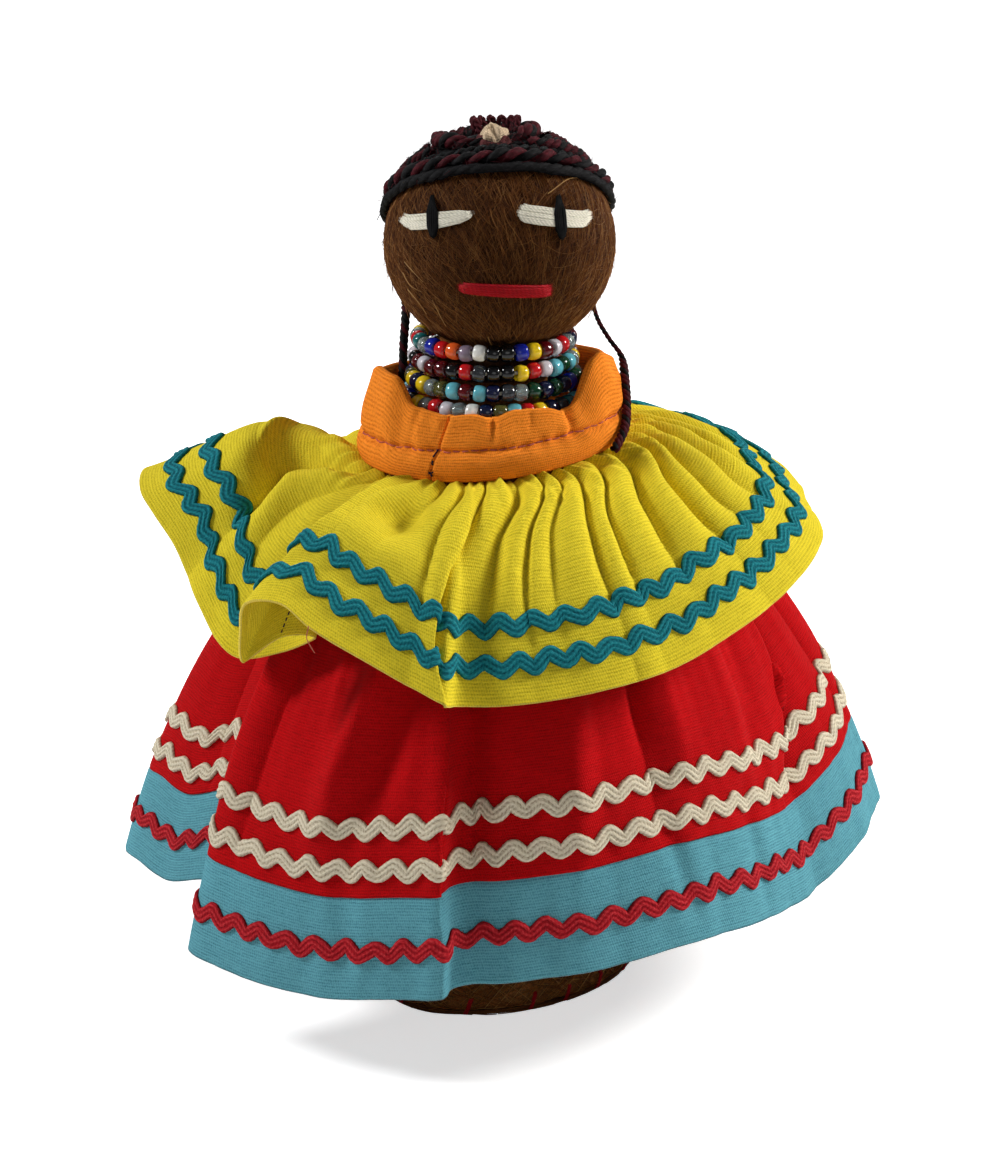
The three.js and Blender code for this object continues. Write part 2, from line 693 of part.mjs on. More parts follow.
// A row of cord round the head. The higher rows end at both sides of the topknot.
function hairRow(row) {
  const fromMiddle = degrees(HAIR_EDGE - row * HAIR_PITCH);
  const radius = HAIR_CORD / 2;
  const apart = hair.axis.angleTo(bun.axis);
  const clear = BUN_REACH + (BUN_CORD / 2 + HAIR_CORD / 2 + HAIR_ROOM) / HEAD_WIDE;
  const meeting =
    (Math.cos(clear) - Math.cos(fromMiddle) * Math.cos(apart)) /
    (Math.sin(fromMiddle) * Math.sin(apart));
  const gap = meeting < 1 ? Math.acos(Math.max(-1, meeting)) : 0;
  const front = Math.atan2(bun.axis.dot(hair.back), bun.axis.dot(hair.side));
  const place = (round) => onHead(hair, fromMiddle, round, HAIR_SEAT + radius);
  const sides = 4;
  const steps = 18;
  const shortened = Math.max(5, Math.round(steps * (1 - gap / Math.PI)));
  return headCord(place, front + gap, front + 2 * Math.PI - gap, gap ? shortened : steps, radius, sides);
}

// The thick cord coiled round the topknot, open in front.
function bunCoil() {
  const radius = BUN_CORD / 2;
  const place = (round) => onHead(bun, BUN_REACH, round, HAIR_SEAT + radius);
  const first = degrees(BUN_FRONT + BUN_GAP);
  const last = degrees(BUN_FRONT + 360 - BUN_GAP);
  return headCord(place, first, last, 16, radius, 6);
}

// A thin cord inside the coil that rises and falls in small loops.
function picotRow() {
  const radius = PICOT_CORD / 2;
  const first = degrees(BUN_FRONT + PICOT_GAP);
  const last = degrees(BUN_FRONT + 360 - PICOT_GAP);
  const place = (round) => {
    const wave = (1 - Math.cos((2 * Math.PI * PICOT_LOOPS * (round - first)) / (last - first))) / 2;
    return onHead(loops, PICOT_RADIUS / HEAD_WIDE, round, HAIR_SEAT + radius + PICOT_RISE * wave);
  };
  return headCord(place, first, last, 4 * PICOT_LOOPS + 1, radius, 4);
}

// Cream cotton that puffs up between the ends of the coil.
function crownPatch() {
  const { point, normal } = onHead(bun, PATCH_PLACE / HEAD_WIDE, degrees(BUN_FRONT), HAIR_SEAT);
  const straight = PATCH_RISE / 3;
  const profile = [new THREE.Vector2(0, 0), new THREE.Vector2(PATCH_RADIUS, 0)];
  const steps = 5;
  for (let i = 0; i <= steps; i++) {
    const angle = (Math.PI * i) / (2 * steps);
    const high = straight + (PATCH_RISE - straight) * Math.sin(angle);
    profile.push(new THREE.Vector2(i < steps ? PATCH_RADIUS * Math.cos(angle) : 0, high));
  }
  const puff = turned(profile, 14);
  puff.applyQuaternion(new THREE.Quaternion().setFromUnitVectors(vec(0, 1, 0), normal));
  return puff.translate(point.x, point.y, point.z);
}

// Loose cords that hang from the back of the hair: x, y and the height over the head's middle
const TAIL_RIGHT = [
  [13.4, 13.4, -2.4],
  [14.5, 13.6, -5.4],
  [14.7, 12.6, -8.4],
  [14.4, 10.4, -11.8],
  [15.1, 7.2, -14.4],
  [16.9, 4, -17],
  [18.9, 1.2, -19.4],
  [19.4, -2, -22.2],
  [19.6, -5.8, -26],
  [19.2, -9.2, -29.1],
  [17.4, -13.1, -31.8],
];
const TAIL_LEFT = [
  [-16.4, 13.4, -2.4],
  [-17.5, 13.6, -5.4],
  [-17.7, 12.6, -8.4],
  [-17.5, 10, -11.8],
  [-17.5, 7.4, -14.7],
  [-17.8, 6.8, -18.6],
  [-17.9, 6.6, -21.4],
  [-18, 6.5, -23.6],
  [-18.4, 6.6, -26.1],
  [-18.6, 6.8, -28],
];

function tailCord(route) {
  const curve = new THREE.CatmullRomCurve3(route.map(([x, y, z]) => vec(x, y, HEAD_Z + z)));
  const section = new THREE.Shape().absarc(0, 0, TAIL_THICK / 2, 0, 2 * Math.PI);
  const steps = Math.round(curve.getLength() / (2 * TAIL_THICK)) + 1;
  return new THREE.ExtrudeGeometry(section, { steps, curveSegments: 4, extrudePath: curve });
}

// Necklaces: beads on a thread, drawn as one body

function necklace(radius, height) {
  const beads = Math.round((2 * Math.PI * radius) / BEAD_PITCH);
  const shape = [[-0.5, BEAD_HOLE / 2], [-0.22, BEAD / 2], [0.22, BEAD / 2]];
  const sides = 5;
  const sections = [];
  for (let i = 0; i < beads; i++) {
    for (const [along, thick] of shape) {
      const angle = (2 * Math.PI * (i + along)) / beads;
      const out = vec(Math.cos(angle), Math.sin(angle), 0);
      const middle = vec(NECK_X, 0, height).addScaledVector(out, radius);
      sections.push(circle(middle, out, vec(0, 0, 1), thick, sides));
    }
  }
  return skin(sections, true);
}

// Collar: a folded band that stands round the neck, higher at the doll's left

// Height of the collar's upper edge over its lower one.
function collarHeight(degree) {
  const after = COLLAR_EDGE.findIndex(([row]) => row > degree);
  const [low, high] = [COLLAR_EDGE[after - 1], COLLAR_EDGE[after]];
  return THREE.MathUtils.mapLinear(degree, low[0], high[0], low[1], high[1]);
}

function collar() {
  const stations = 40;
  const shape = [[0, 0], [0.25, COLLAR_FLARE], [0.5, -COLLAR_DRAWN / 2], [1, -COLLAR_DRAWN]];
  const sections = [];
  for (let i = 0; i < stations; i++) {
    const degree = (360 * i) / stations;
    const angle = degrees(degree);
    const foot = COLLAR_FOOT - COLLAR_SAG * frontShare(angle);
    const place = ([up, flare], inward) => {
      const long = COLLAR_LONG + flare - inward;
      const short = COLLAR_SHORT + flare - inward;
      const x = long * Math.cos(angle);
      const z = foot + up * collarHeight(degree) + COLLAR_LEAN * x;
      return vec(NECK_X + x, short * Math.sin(angle), z);
    };
    const outer = shape.map((row) => place(row, 0));
    const inner = shape.map((row) => place(row, COLLAR_THICK));
    sections.push([...outer, ...inner.reverse()]);
  }
  return skin(sections, true);
}

// Dress and cape

const dressNeck = {
  long: DRESS_NECK_LONG,
  short: DRESS_NECK_SHORT,
  z: COLLAR_FOOT - DRESS_NECK_DROP,
  sag: 0,
};
const capeNeck = {
  long: CAPE_NECK_LONG,
  short: CAPE_NECK_SHORT,
  z: COLLAR_FOOT - FIT,
  sag: COLLAR_SAG,
};
const SEAM_GAP = FIT / 2;
const TAPE_ROOM = (TAPE_WIDE + 2 * TAPE_SWING) / 2 + FIT; // cloth that a tape needs above its middle
const bandHeights = [0, BAND_TALL / 2, BAND_TALL - SEAM_GAP];
const dressHeights = [BAND_TALL + SEAM_GAP, DRESS_RICKRACK_HIGH + TAPE_ROOM];
const capeHeights = [0, (CAPE_RICKRACK_LOW + CAPE_RICKRACK_HIGH) / 2, CAPE_RICKRACK_HIGH + TAPE_ROOM];
const dressMeridians = drape(DRESS_HEM, DRESS_CORNERS, dressNeck, DRESS_REACH, DRESS_DROP);
const capeMeridians = drape(CAPE_HEM, CAPE_CORNERS, capeNeck, CAPE_REACH, CAPE_DROP);
const bandGrid = clothGrid(dressMeridians, bandHeights, 0);
const dressGrid = clothGrid(dressMeridians, dressHeights, 5).map((line) => {
  const edge = line[line.length - 1].clone();
  return [...line, edge.setZ(edge.z + DRESS_NECK_RISE)];
});
const capeGrid = clothGrid(capeMeridians, capeHeights, 4);

function sheet(grid) {
  return clothSolid(grid, gridNormals(grid), 0, grid[0].length - 1, CLOTH);
}

// The doll

const doll = new THREE.Group();

function add(name, geometry, material, place = vec(0, 0, 0)) {
  const mesh = new THREE.Mesh(geometry, material);
  mesh.name = name;
  mesh.position.copy(place);
  doll.add(mesh);
}

add('base_cover', baseCover(), edgeBrown);
add('base_board', baseBoard(), cardboardTan);
add('body_cover', bodyCover(), fibreBrown);
add('body_stuffing', bodyStuffing(), cottonCream);
add('head_cover', headCover(), fibreBrown, headPlace);
add('head_stuffing', headStuffing(), cottonCream, headPlace);
add('neck_tie', neckTie(), threadBlack, vec(NECK_X, 0, HEAD_Z));

const leftEye = { slope: EYE_SLOPE };
add('eye_white_left', stitchPad(EYE_LEFT_X, EYE_Z, EYE_LONG, EYE_TALL, leftEye), threadWhite);
add('eye_white_right', stitchPad(EYE_RIGHT_X, EYE_Z, EYE_LONG, EYE_TALL, {}), threadWhite);
const pupil = { upright: true, blunt: 0.15, lift: overWhite };
add('pupil_left', stitchPad(PUPIL_LEFT_X, EYE_Z, PUPIL_TALL, PUPIL_WIDE, pupil), threadBlack);
add('pupil_right', stitchPad(PUPIL_RIGHT_X, EYE_Z, PUPIL_TALL, PUPIL_WIDE, pupil), threadBlack);
add('mouth', stitchPad(MOUTH_X, MOUTH_Z, MOUTH_LONG, MOUTH_TALL, { blunt: 0.7 }), threadRed);

add('hair_edge_cord', hairRow(0), cordBlack);
for (let row = 1; row <= HAIR_ROWS; row++) {
  add(`hair_row_${row}`, hairRow(row), row % 2 ? cordMaroon : cordBlack);
}
add('bun_coil', bunCoil(), cordMaroon);
add('bun_picots', picotRow(), cordMaroon);
add('crown_patch', crownPatch(), cottonCream);
add('tail_cord_right', tailCord(TAIL_RIGHT), cordMaroon);
add('tail_cord_left', tailCord(TAIL_LEFT), cordBlack);

STRAND_RADII.forEach((radius, i) => {
  add(`necklace_${i + 1}`, necklace(radius, NECK_FOOT + STRAND_RISES[i]), beadGlass[i]);
});

add('collar', collar(), clothOrange);
add('cape', sheet(capeGrid), clothYellow);
add('cape_rickrack_lower', rickrack(capeGrid, capeHeights, CAPE_RICKRACK_LOW, FIT), tapeTeal);
add('cape_rickrack_upper', rickrack(capeGrid, capeHeights, CAPE_RICKRACK_HIGH, FIT), tapeTeal);
add('dress', sheet(dressGrid), clothRed);
add('dress_rickrack_lower', rickrack(dressGrid, dressHeights, DRESS_RICKRACK_LOW, FIT), tapeCream);
add('dress_rickrack_upper', rickrack(dressGrid, dressHeights, DRESS_RICKRACK_HIGH, FIT), tapeCream);
add('hem_band', sheet(bandGrid), clothTurquoise);
add('hem_rickrack', rickrack(bandGrid, bandHeights, HEM_RICKRACK, FIT), tapeRed);

export default doll;
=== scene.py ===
# The palmetto fibre doll: cloth, tapes, beads, cords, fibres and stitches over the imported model.
# Sizes are in millimetres and become metres where a mesh is made. Lamps are placed in metres.

import math

import bpy
import numpy as np
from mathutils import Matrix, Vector


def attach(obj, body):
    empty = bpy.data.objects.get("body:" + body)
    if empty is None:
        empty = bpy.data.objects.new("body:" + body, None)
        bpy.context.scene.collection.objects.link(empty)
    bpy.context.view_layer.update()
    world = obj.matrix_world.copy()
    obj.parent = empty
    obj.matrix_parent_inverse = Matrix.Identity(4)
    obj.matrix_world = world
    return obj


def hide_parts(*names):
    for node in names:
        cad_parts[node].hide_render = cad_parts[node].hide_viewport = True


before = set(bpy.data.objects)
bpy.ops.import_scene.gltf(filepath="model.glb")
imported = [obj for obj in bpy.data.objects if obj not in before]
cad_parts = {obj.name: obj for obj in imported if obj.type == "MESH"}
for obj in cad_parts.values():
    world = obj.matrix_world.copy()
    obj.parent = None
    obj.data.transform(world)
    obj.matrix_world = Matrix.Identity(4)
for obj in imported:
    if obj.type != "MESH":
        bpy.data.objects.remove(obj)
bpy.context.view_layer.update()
BODY = "doll"
MM = 0.001
rng = np.random.default_rng(7)


# Camera, lamps and floor

TARGET = Vector((-1.44, 0, 71.62)) * MM
CAMERA_ELEVATION = 18
CAMERA_DISTANCE = 480
CAMERA_LENS = 85.93


def aim(thing, place, target):
    thing.location = place
    thing.rotation_euler = (Vector(target) - Vector(place)).to_track_quat("-Z", "Y").to_euler()


def make_camera():
    data = bpy.data.cameras.new("camera")
    data.sensor_fit = "VERTICAL"
    data.sensor_height = 36
    data.lens = CAMERA_LENS
    data.clip_start = 0.01
    data.clip_end = 20
    camera = bpy.data.objects.new("camera", data)
    bpy.context.scene.collection.objects.link(camera)
    up = math.radians(CAMERA_ELEVATION)
    away = Vector((0, -math.cos(up), math.sin(up))) * CAMERA_DISTANCE * MM
    aim(camera, TARGET + away, TARGET)
    bpy.context.scene.camera = camera


def make_lamp(name, place, size, power, colour=(1, 1, 1)):
    data = bpy.data.lights.new(name, "AREA")
    data.shape = "DISK"
    data.size = size
    data.energy = power
    data.color = colour
    lamp = bpy.data.objects.new(name, data)
    bpy.context.scene.collection.objects.link(lamp)
    aim(lamp, place, TARGET)


make_camera()
make_lamp("right", (0.56, 0.03, 0.42), 0.2, 4.4, (1, 0.985, 0.96))
make_lamp("left", (-0.52, -0.02, 0.46), 0.16, 3.1, (0.98, 0.99, 1))
make_lamp("fill", (0.05, -0.7, 0.36), 0.4, 0.35)
make_lamp("back", (-0.1, 0.6, 0.5), 0.4, 0.9)


# Materials


class Look:
    """One procedural material and its nodes. A sheen is its weight and its tint."""

    def __init__(self, name, sheen=None, **constants):
        self.material = bpy.data.materials.new(name)
        self.material.use_nodes = True
        self.nodes = self.material.node_tree.nodes
        self.links = self.material.node_tree.links
        self.shader = self.nodes["Principled BSDF"]
        for socket, value in constants.items():
            self.shader.inputs[socket.replace("_", " ")].default_value = value
        if sheen:
            self.shader.inputs["Sheen Weight"].default_value = sheen[0]
            self.shader.inputs["Sheen Tint"].default_value = opaque(sheen[1])
            self.shader.inputs["Sheen Roughness"].default_value = SHEEN_ROUGHNESS

    def add(self, kind, *inputs, **properties):
        node = self.nodes.new("ShaderNode" + kind)
        for key, value in properties.items():
            setattr(node, key, value)
        for place, value in enumerate(inputs):
            if value is not None:
                self.put(node.inputs[place], value)
        return node.outputs[0]

    def put(self, socket, value):
        if isinstance(value, bpy.types.NodeSocket):
            self.links.new(value, socket)
        elif hasattr(socket.default_value, "__len__") and not hasattr(value, "__len__"):
            socket.default_value = [value] * len(socket.default_value)
        else:
            socket.default_value = value

    def maths(self, operation, *values):
        return self.add("Math", *values, operation=operation)

    def times(self, a, b):
        return self.maths("MULTIPLY", a, b)

    def plus(self, value, *others):
        for other in others:
            value = self.maths("ADD", value, other)
        return value

    def uv(self):
        node = self.nodes.new("ShaderNodeUVMap")
        node.uv_map = "UV"
        parts = self.nodes.new("ShaderNodeSeparateXYZ")
        self.links.new(node.outputs[0], parts.inputs[0])
        return node.outputs[0], parts.outputs[0], parts.outputs[1]

    def place(self):
        return self.nodes.new("ShaderNodeTexCoord").outputs["Object"]

    def noise(self, vector, scale, detail=2.0, roughness=0.6):
        """Noise at one scale, or with a scale of its own for each direction."""
        if np.ndim(scale):
            vector, scale = self.add("Mapping", vector, None, None, scale), 1.0
        node = self.nodes.new("ShaderNodeTexNoise")
        self.links.new(vector, node.inputs["Vector"])
        for socket, value in (("Scale", scale), ("Detail", detail), ("Roughness", roughness)):
            node.inputs[socket].default_value = value
        return node.outputs["Fac"]

    def ramp(self, fac, *stops):
        node = self.nodes.new("ShaderNodeValToRGB")
        self.links.new(fac, node.inputs[0])
        elements = node.color_ramp.elements
        while len(elements) < len(stops):
            elements.new(0.5)
        for element, (place, colour) in zip(elements, stops):
            element.position = place
            element.color = (*colour, 1)
        return node.outputs[0]

    def mix(self, fac, a, b, blend="MIX"):
        node = self.nodes.new("ShaderNodeMix")
        node.data_type = "RGBA"
        node.blend_type = blend
        for socket, value in ((0, fac), (6, a), (7, b)):
            self.put(node.inputs[socket], value)
        return node.outputs[2]

    def colour(self, value):
        self.put(self.shader.inputs["Base Color"], value)

    def bump(self, height, distance, strength=1.0):
        node = self.nodes.new("ShaderNodeBump")
        node.inputs["Strength"].default_value = strength
        node.inputs["Distance"].default_value = distance * MM
        self.links.new(height, node.inputs["Height"])
        self.links.new(node.outputs[0], self.shader.inputs["Normal"])


def linear(red, green, blue):
    """A colour written as the photograph's own numbers from 0 to 255."""
    return tuple(
        c / 12.92 if c <= 0.04045 else ((c + 0.055) / 1.055) ** 2.4
        for c in (red / 255, green / 255, blue / 255)
    )


def shade(colour, amount):
    return tuple(c * amount for c in colour)


def opaque(colour):
    return (*colour, 1)


UV_SCALE = 0.01  # UV units to a millimetre
SHEEN_ROUGHNESS = 0.4
FRAYED_EDGE = 0.14  # width of the paler edge of a hem, in millimetres


def cotton(name, colour, rib=0.5, thread=0.42, contrast=0.26, edge=None):
    """Plain-woven cotton: uneven ribs along the cloth, finer threads across, perhaps a paler hem edge."""
    look = Look(name, (0.03, colour), Roughness=0.92, Specular_IOR_Level=0.12)
    vector, u, v = look.uv()
    wobble = look.noise(vector, (5, 9, 1))
    row = look.plus(look.times(v, 1 / (rib * UV_SCALE)), wobble)
    ribs = look.maths("SINE", look.times(row, 2 * math.pi))
    shift = look.times(look.maths("FLOOR", row), 2.2)
    across = look.times(u, 2 * math.pi / (thread * UV_SCALE))
    threads = look.maths("SINE", look.plus(across, shift))
    slub = look.noise(vector, (22, 222, 1))
    grain = look.noise(vector, (230, 330, 1))
    weave = look.plus(look.times(ribs, 0.145), look.times(threads, 0.12), look.times(grain, 0.95))
    height = look.plus(weave, look.times(slub, 0.55))
    # The dark stop paints shade in the weave's low places and the top stop paints a highlight on its high
    # ones, over the slubs' random tone; contrast sets how deep the painted shade is.
    dark = tuple((1 - contrast) * part**1.2 for part in colour)
    woven = look.ramp(height, (0.42, dark), (0.76, colour), (1.05, shade(colour, 1.14)))
    cloud = look.ramp(look.noise(look.place(), 35.0), (0.3, (0.88, 0.88, 0.88)), (0.7, (1, 1, 1)))
    woven = look.mix(1.0, woven, cloud, "MULTIPLY")
    if edge:
        fray = look.times(look.maths("SUBTRACT", grain, 0.5), 0.25 * UV_SCALE)
        near = look.maths("LESS_THAN", look.plus(v, fray), FRAYED_EDGE * UV_SCALE)
        woven = look.mix(look.times(near, 0.2), woven, opaque(edge))
    look.colour(woven)
    look.bump(height, 0.16, 0.85)
    return look.material


TAPE_PITCH, TAPE_SWING, TAPE_WIDTH, TAPE_THICK = 5.25, 0.84, 2.6, 0.6
TAPE_RIDGES, TAPE_LIFT = 3, 0.1


def tape(name, groove_shade, colour, light):
    """Braided rickrack: ridges of thread that follow the zigzag, with painted shade in the grooves between
    them and a painted highlight on the ridges.
    """
    look = Look(name, (0.08, light), Roughness=0.88, Specular_IOR_Level=0.18)
    vector, u, v = look.uv()
    ridge = look.maths("COSINE", look.times(v, 2 * math.pi * TAPE_RIDGES / (TAPE_WIDTH * UV_SCALE)))
    long_threads = look.noise(vector, (90, 650, 1), 3.0)
    slant = look.plus(look.times(u, 900), look.times(look.maths("ABSOLUTE", v), 620))
    braid = look.times(look.maths("SINE", slant), 0.05)
    fuzz = look.noise(vector, (420, 420, 1), 3.0, 0.7)
    height = look.plus(look.times(ridge, 0.1), look.times(long_threads, 0.55), braid, look.times(fuzz, 0.5))
    # The first stop paints shade in the grooves and the last, light, paints a highlight on the ridges, over
    # the threads' random tone.
    look.colour(look.ramp(height, (0.3, groove_shade), (0.52, colour), (0.82, light)))
    look.bump(height, 0.2, 0.8)
    return look.material


def yarn(name, colour, light, pitch=0.8, roughness=0.7, sheen=0.04):
    """Thread or cord with a fine twist round its own length."""
    look = Look(name, (sheen, light), Roughness=roughness, Specular_IOR_Level=0.16)
    vector, u, v = look.uv()
    turn = look.times(u, 2 * math.pi / (pitch * UV_SCALE))
    twist = look.maths("SINE", look.plus(turn, look.times(v, 2 * math.pi * 3)))
    height = look.plus(look.times(twist, 0.07), look.noise(vector, (60, 14, 1), 5.0, 0.75))
    # The low stop paints shade in the twist's hollows and light paints a highlight on its high places.
    look.colour(look.ramp(height, (0.3, shade(colour, 0.5)), (0.55, colour), (0.8, light)))
    look.bump(height, 0.16, 0.8)
    return look.material


def fibre(name, dark, light):
    """Palmetto fibre laid criss-cross: streaks in two directions over a patchy ground."""
    look = Look(name, Roughness=0.8, Specular_IOR_Level=0.2)
    where = look.place()
    one_way, other_way = (
        look.noise(look.add("Mapping", where, None, turn, (3000, 260, 2200)), 1.0)
        for turn in ((0.3, 0.6, 0.8), (0.2, -0.7, -0.9))
    )
    height = look.maths("MAXIMUM", one_way, other_way)
    ground = look.mix(look.noise(where, 160.0), opaque(dark), opaque(light))
    streaks = look.ramp(height, (0.35, (0.25, 0.25, 0.25)), (0.75, (1.1, 1.1, 1.1)))
    look.colour(look.mix(1.0, ground, streaks, "MULTIPLY"))
    look.bump(height, 0.3, 0.8)
    return look.material


def glass(name, colour, clear):
    """A bead of coloured glass, opaque or partly clear, with small flecks."""
    look = Look(name, Roughness=0.1, IOR=1.55, Transmission_Weight=clear)
    flecks = look.noise(look.place(), 900.0)
    look.colour(look.ramp(flecks, (0.3, shade(colour, 0.75)), (0.7, shade(colour, 1.15))))
    look.bump(flecks, 0.03, 0.3)
    return look.material


# Geometry shared by the pieces


def smooth_step(value, low, high):
    share = np.clip((value - low) / (high - low), 0, 1)
    return share * share * (3 - 2 * share)


def bell(value):
    return np.exp(-(value**2))


def steps_round(values, axis=0):
    """From the place before to the place after, all round a closed row."""
    return np.roll(values, -1, axis) - np.roll(values, 1, axis)


def unit(vectors):
    return vectors / np.maximum(np.linalg.norm(vectors, axis=-1, keepdims=True), 1e-9)


def run_of(path, closed=False):
    """Distance along a path to each of its points, and to its start again where it closes."""
    path = np.concatenate([path, path[:1]]) if closed else path
    return np.concatenate([[0], np.cumsum(np.linalg.norm(np.diff(path, axis=0), axis=1))])


def sides_of(paths, ups, closed=False):
    """Directions aside from paths and above them. ups say roughly where above is."""
    if closed:
        ahead = unit(steps_round(paths, -2))
    else:
        ahead = unit(np.gradient(paths, axis=-2))
    aside = unit(np.cross(ahead, ups))
    return aside, np.cross(aside, ahead)


def square(i, j):
    """Corners of the quads that start at rows i and columns j."""
    return [(i, j), (i + 1, j), (i + 1, j + 1), (i, j + 1)]


def grid_part(grid, closed=(False, False), us=None, vs=None, material=0):
    """Quads over a grid of points. us and vs hold one value more in a direction that closes."""
    n, m = grid.shape[:2]
    us = np.arange(n + 1.0) if us is None else us
    vs = np.arange(m + 1.0) if vs is None else vs
    rows = np.arange(n if closed[0] else n - 1)
    columns = np.arange(m if closed[1] else m - 1)
    corners = square(*(a.ravel() for a in np.meshgrid(rows, columns, indexing="ij")))
    faces = np.stack([(a % n) * m + b % m for a, b in corners], 1)
    uv = np.stack([np.stack([us[a], vs[b]], -1) for a, b in corners], 1) * UV_SCALE
    return grid.reshape(-1, 3), faces, uv, np.full(len(faces), material)


def sweep_part(paths, ups, radii, sides, closed=False, materials=0):
    """Round tubes along many paths (count, points, 3), whose sections stand on their ups."""
    count, steps = paths.shape[:2]
    aside, above = sides_of(paths, ups, closed)
    angle = 2 * np.pi * np.arange(sides) / sides + np.pi / 2
    ring = np.cos(angle)[:, None] * aside[:, :, None] + np.sin(angle)[:, None] * above[:, :, None]
    radii = np.broadcast_to(radii, (count, steps))
    points = paths[:, :, None] + radii[..., None, None] * ring
    links = steps if closed else steps - 1
    f, i, j = np.meshgrid(np.arange(count), np.arange(links), np.arange(sides), indexing="ij")
    f, i, j = f.ravel(), i.ravel(), j.ravel()
    lengths = np.linalg.norm(np.roll(paths, -1, 1) - paths, axis=-1)
    run = np.concatenate([np.zeros((count, 1)), np.cumsum(lengths, 1)], 1)
    faces = np.stack([(f * steps + a % steps) * sides + b % sides for a, b in square(i, j)], 1)
    uv = np.stack([np.stack([run[f, a] * UV_SCALE, b / sides], -1) for a, b in square(i, j)], 1)
    return points.reshape(-1, 3), faces, uv, np.broadcast_to(materials, (count,))[f]


def one(path):
    """A single path as a batch of one."""
    return np.asarray(path, float)[None]


def upright(paths):
    """Ups that stand straight up along the paths."""
    return np.broadcast_to([0, 0, 1.0], paths.shape)


def build(name, parts, materials, replaces=(), body=BODY):
    """One object from several parts, which rides on a body."""
    points, faces, uvs, indices = zip(*parts)
    starts = np.cumsum([0] + [len(part) for part in points])
    mesh = bpy.data.meshes.new(name)
    faces = np.concatenate([part + start for part, start in zip(faces, starts)])
    mesh.from_pydata(np.concatenate(points) * MM, [], faces)
    layer = mesh.uv_layers.new(name="UV")
    layer.data.foreach_set("uv", np.concatenate(uvs).astype(np.float32).ravel())
    for material in materials:
        mesh.materials.append(material)
    mesh.polygons.foreach_set("material_index", np.concatenate(indices).astype(np.int32))
    mesh.polygons.foreach_set("use_smooth", np.full(len(faces), True))
    mesh.update()
    piece = bpy.data.objects.new(name, mesh)
    bpy.context.scene.collection.objects.link(piece)
    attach(piece, body)
    if replaces:
        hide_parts(*replaces)
    return piece


def plies(path, ups, radius, count, pitch, ply_radius, closed, sides, materials):
    """The plies of a twisted cord: tubes that wind round one path."""
    radius = np.broadcast_to(radius, (len(path), 1))
    ply_radius = radius * (0.56 if count == 2 else 0.52) if ply_radius is None else ply_radius
    ply_radius = np.broadcast_to(ply_radius, (len(path), 1))
    aside, above = sides_of(path, ups, closed)
    run = run_of(path, True)
    turns = max(1, round(run[-1] / pitch)) if closed else run[-1] / pitch
    phase = 2 * np.pi * turns * run[:-1, None] / run[-1]
    parts = []
    for k in range(count):
        angle = phase + 2 * np.pi * k / count
        out = np.cos(angle) * aside + np.sin(angle) * above
        line = path + (radius - ply_radius) * out
        parts.append(sweep_part(one(line), one(out), ply_radius[:, 0], sides, closed, materials[k]))
    return parts


def curve_through(points, count):
    """Even points along a smooth line through a few points."""
    points = np.asarray(points, float)
    ends = np.vstack([2 * points[0] - points[1], points, 2 * points[-1] - points[-2]])
    at = np.linspace(0, len(points) - 1 - 1e-9, 40 * len(points))
    i = at.astype(int)
    t = (at - i)[:, None]
    a, b, c, d = (ends[i + k] for k in range(4))
    square_term = 2 * a - 5 * b + 4 * c - d
    line = 0.5 * (2 * b + (c - a) * t + square_term * t**2 + (3 * b - a - 3 * c + d) * t**3)
    run = run_of(line)
    wanted = np.linspace(0, run[-1], count)
    return np.stack([np.interp(wanted, run, line[:, k]) for k in range(3)], 1)


# Sizes shared with the solids

BASE_LONG, BASE_SHORT, BASE_TURN = 24.8, 18.2, 37
BELLY_LONG, BELLY_SHORT, BELLY_HEIGHT = 22.4, 19.4, 48
SHOULDER_LONG, SHOULDER_SHORT, SHOULDER_HEIGHT = 18.8, 16.2, 93
NECK_RADIUS, NECK_X = 9, -2.5
HEAD_WIDE, HEAD_TALL = 18.9, 17.5
HEAD_MIDDLE = np.array([-1.5, 0, 131])
COLLAR_LONG, COLLAR_SHORT, COLLAR_FOOT, COLLAR_SAG = 22.4, 19.6, 97.2, 1.4
COLLAR_LEAN = 0.1
BAND_TALL = 17
CLOTH = 0.35

# How many fibres, fibre ends and stitches are laid
BODY_FIBRES, HEAD_FIBRES, CORD_FUZZ = 3200, 14500, 1100
BASE_BINDING, COLLAR_STITCHES = 260, 88

# Hems: x, y, z and the degree of the neck oval that each place hangs from
DRESS_HEM = [
    (0, -46.5, 18.7, 270), (15, -44, 20, 284), (31.2, -37, 21.6, 300), (45, -24, 20.3, 318),
    (53.5, -12, 19.5, 333), (60, -3.5, 22.3, 343), (65, 4.5, 25.2, 352), (67.5, 12, 28, 362),
    (65.5, 22, 26.5, 373), (59, 32, 24, 385), (47, 39, 25, 398), (33, 47, 22, 412),
    (17, 49, 24, 428), (2, 53, 21, 444), (-14, 49, 23, 460), (-29, 50, 20, 475), (-43, 42, 22, 490),
    (-57, 35, 19, 503), (-66, 24, 19, 516), (-70, 11, 18, 528), (-66.5, 4.5, 18.3, 535),
    (-61, -2.5, 17.3, 541), (-53, -9.5, 20.5, 548), (-46.5, -16, 22, 555),
    (-49.5, -23.5, 18.3, 562), (-54.2, -28, 16.3, 568), (-49.5, -33.5, 15.6, 574),
    (-42, -38, 14.8, 581), (-31, -43, 14.4, 591), (-19, -47, 16, 603), (-11, -49.6, 17.3, 612),
    (-8.2, -46, 17.8, 620),
]
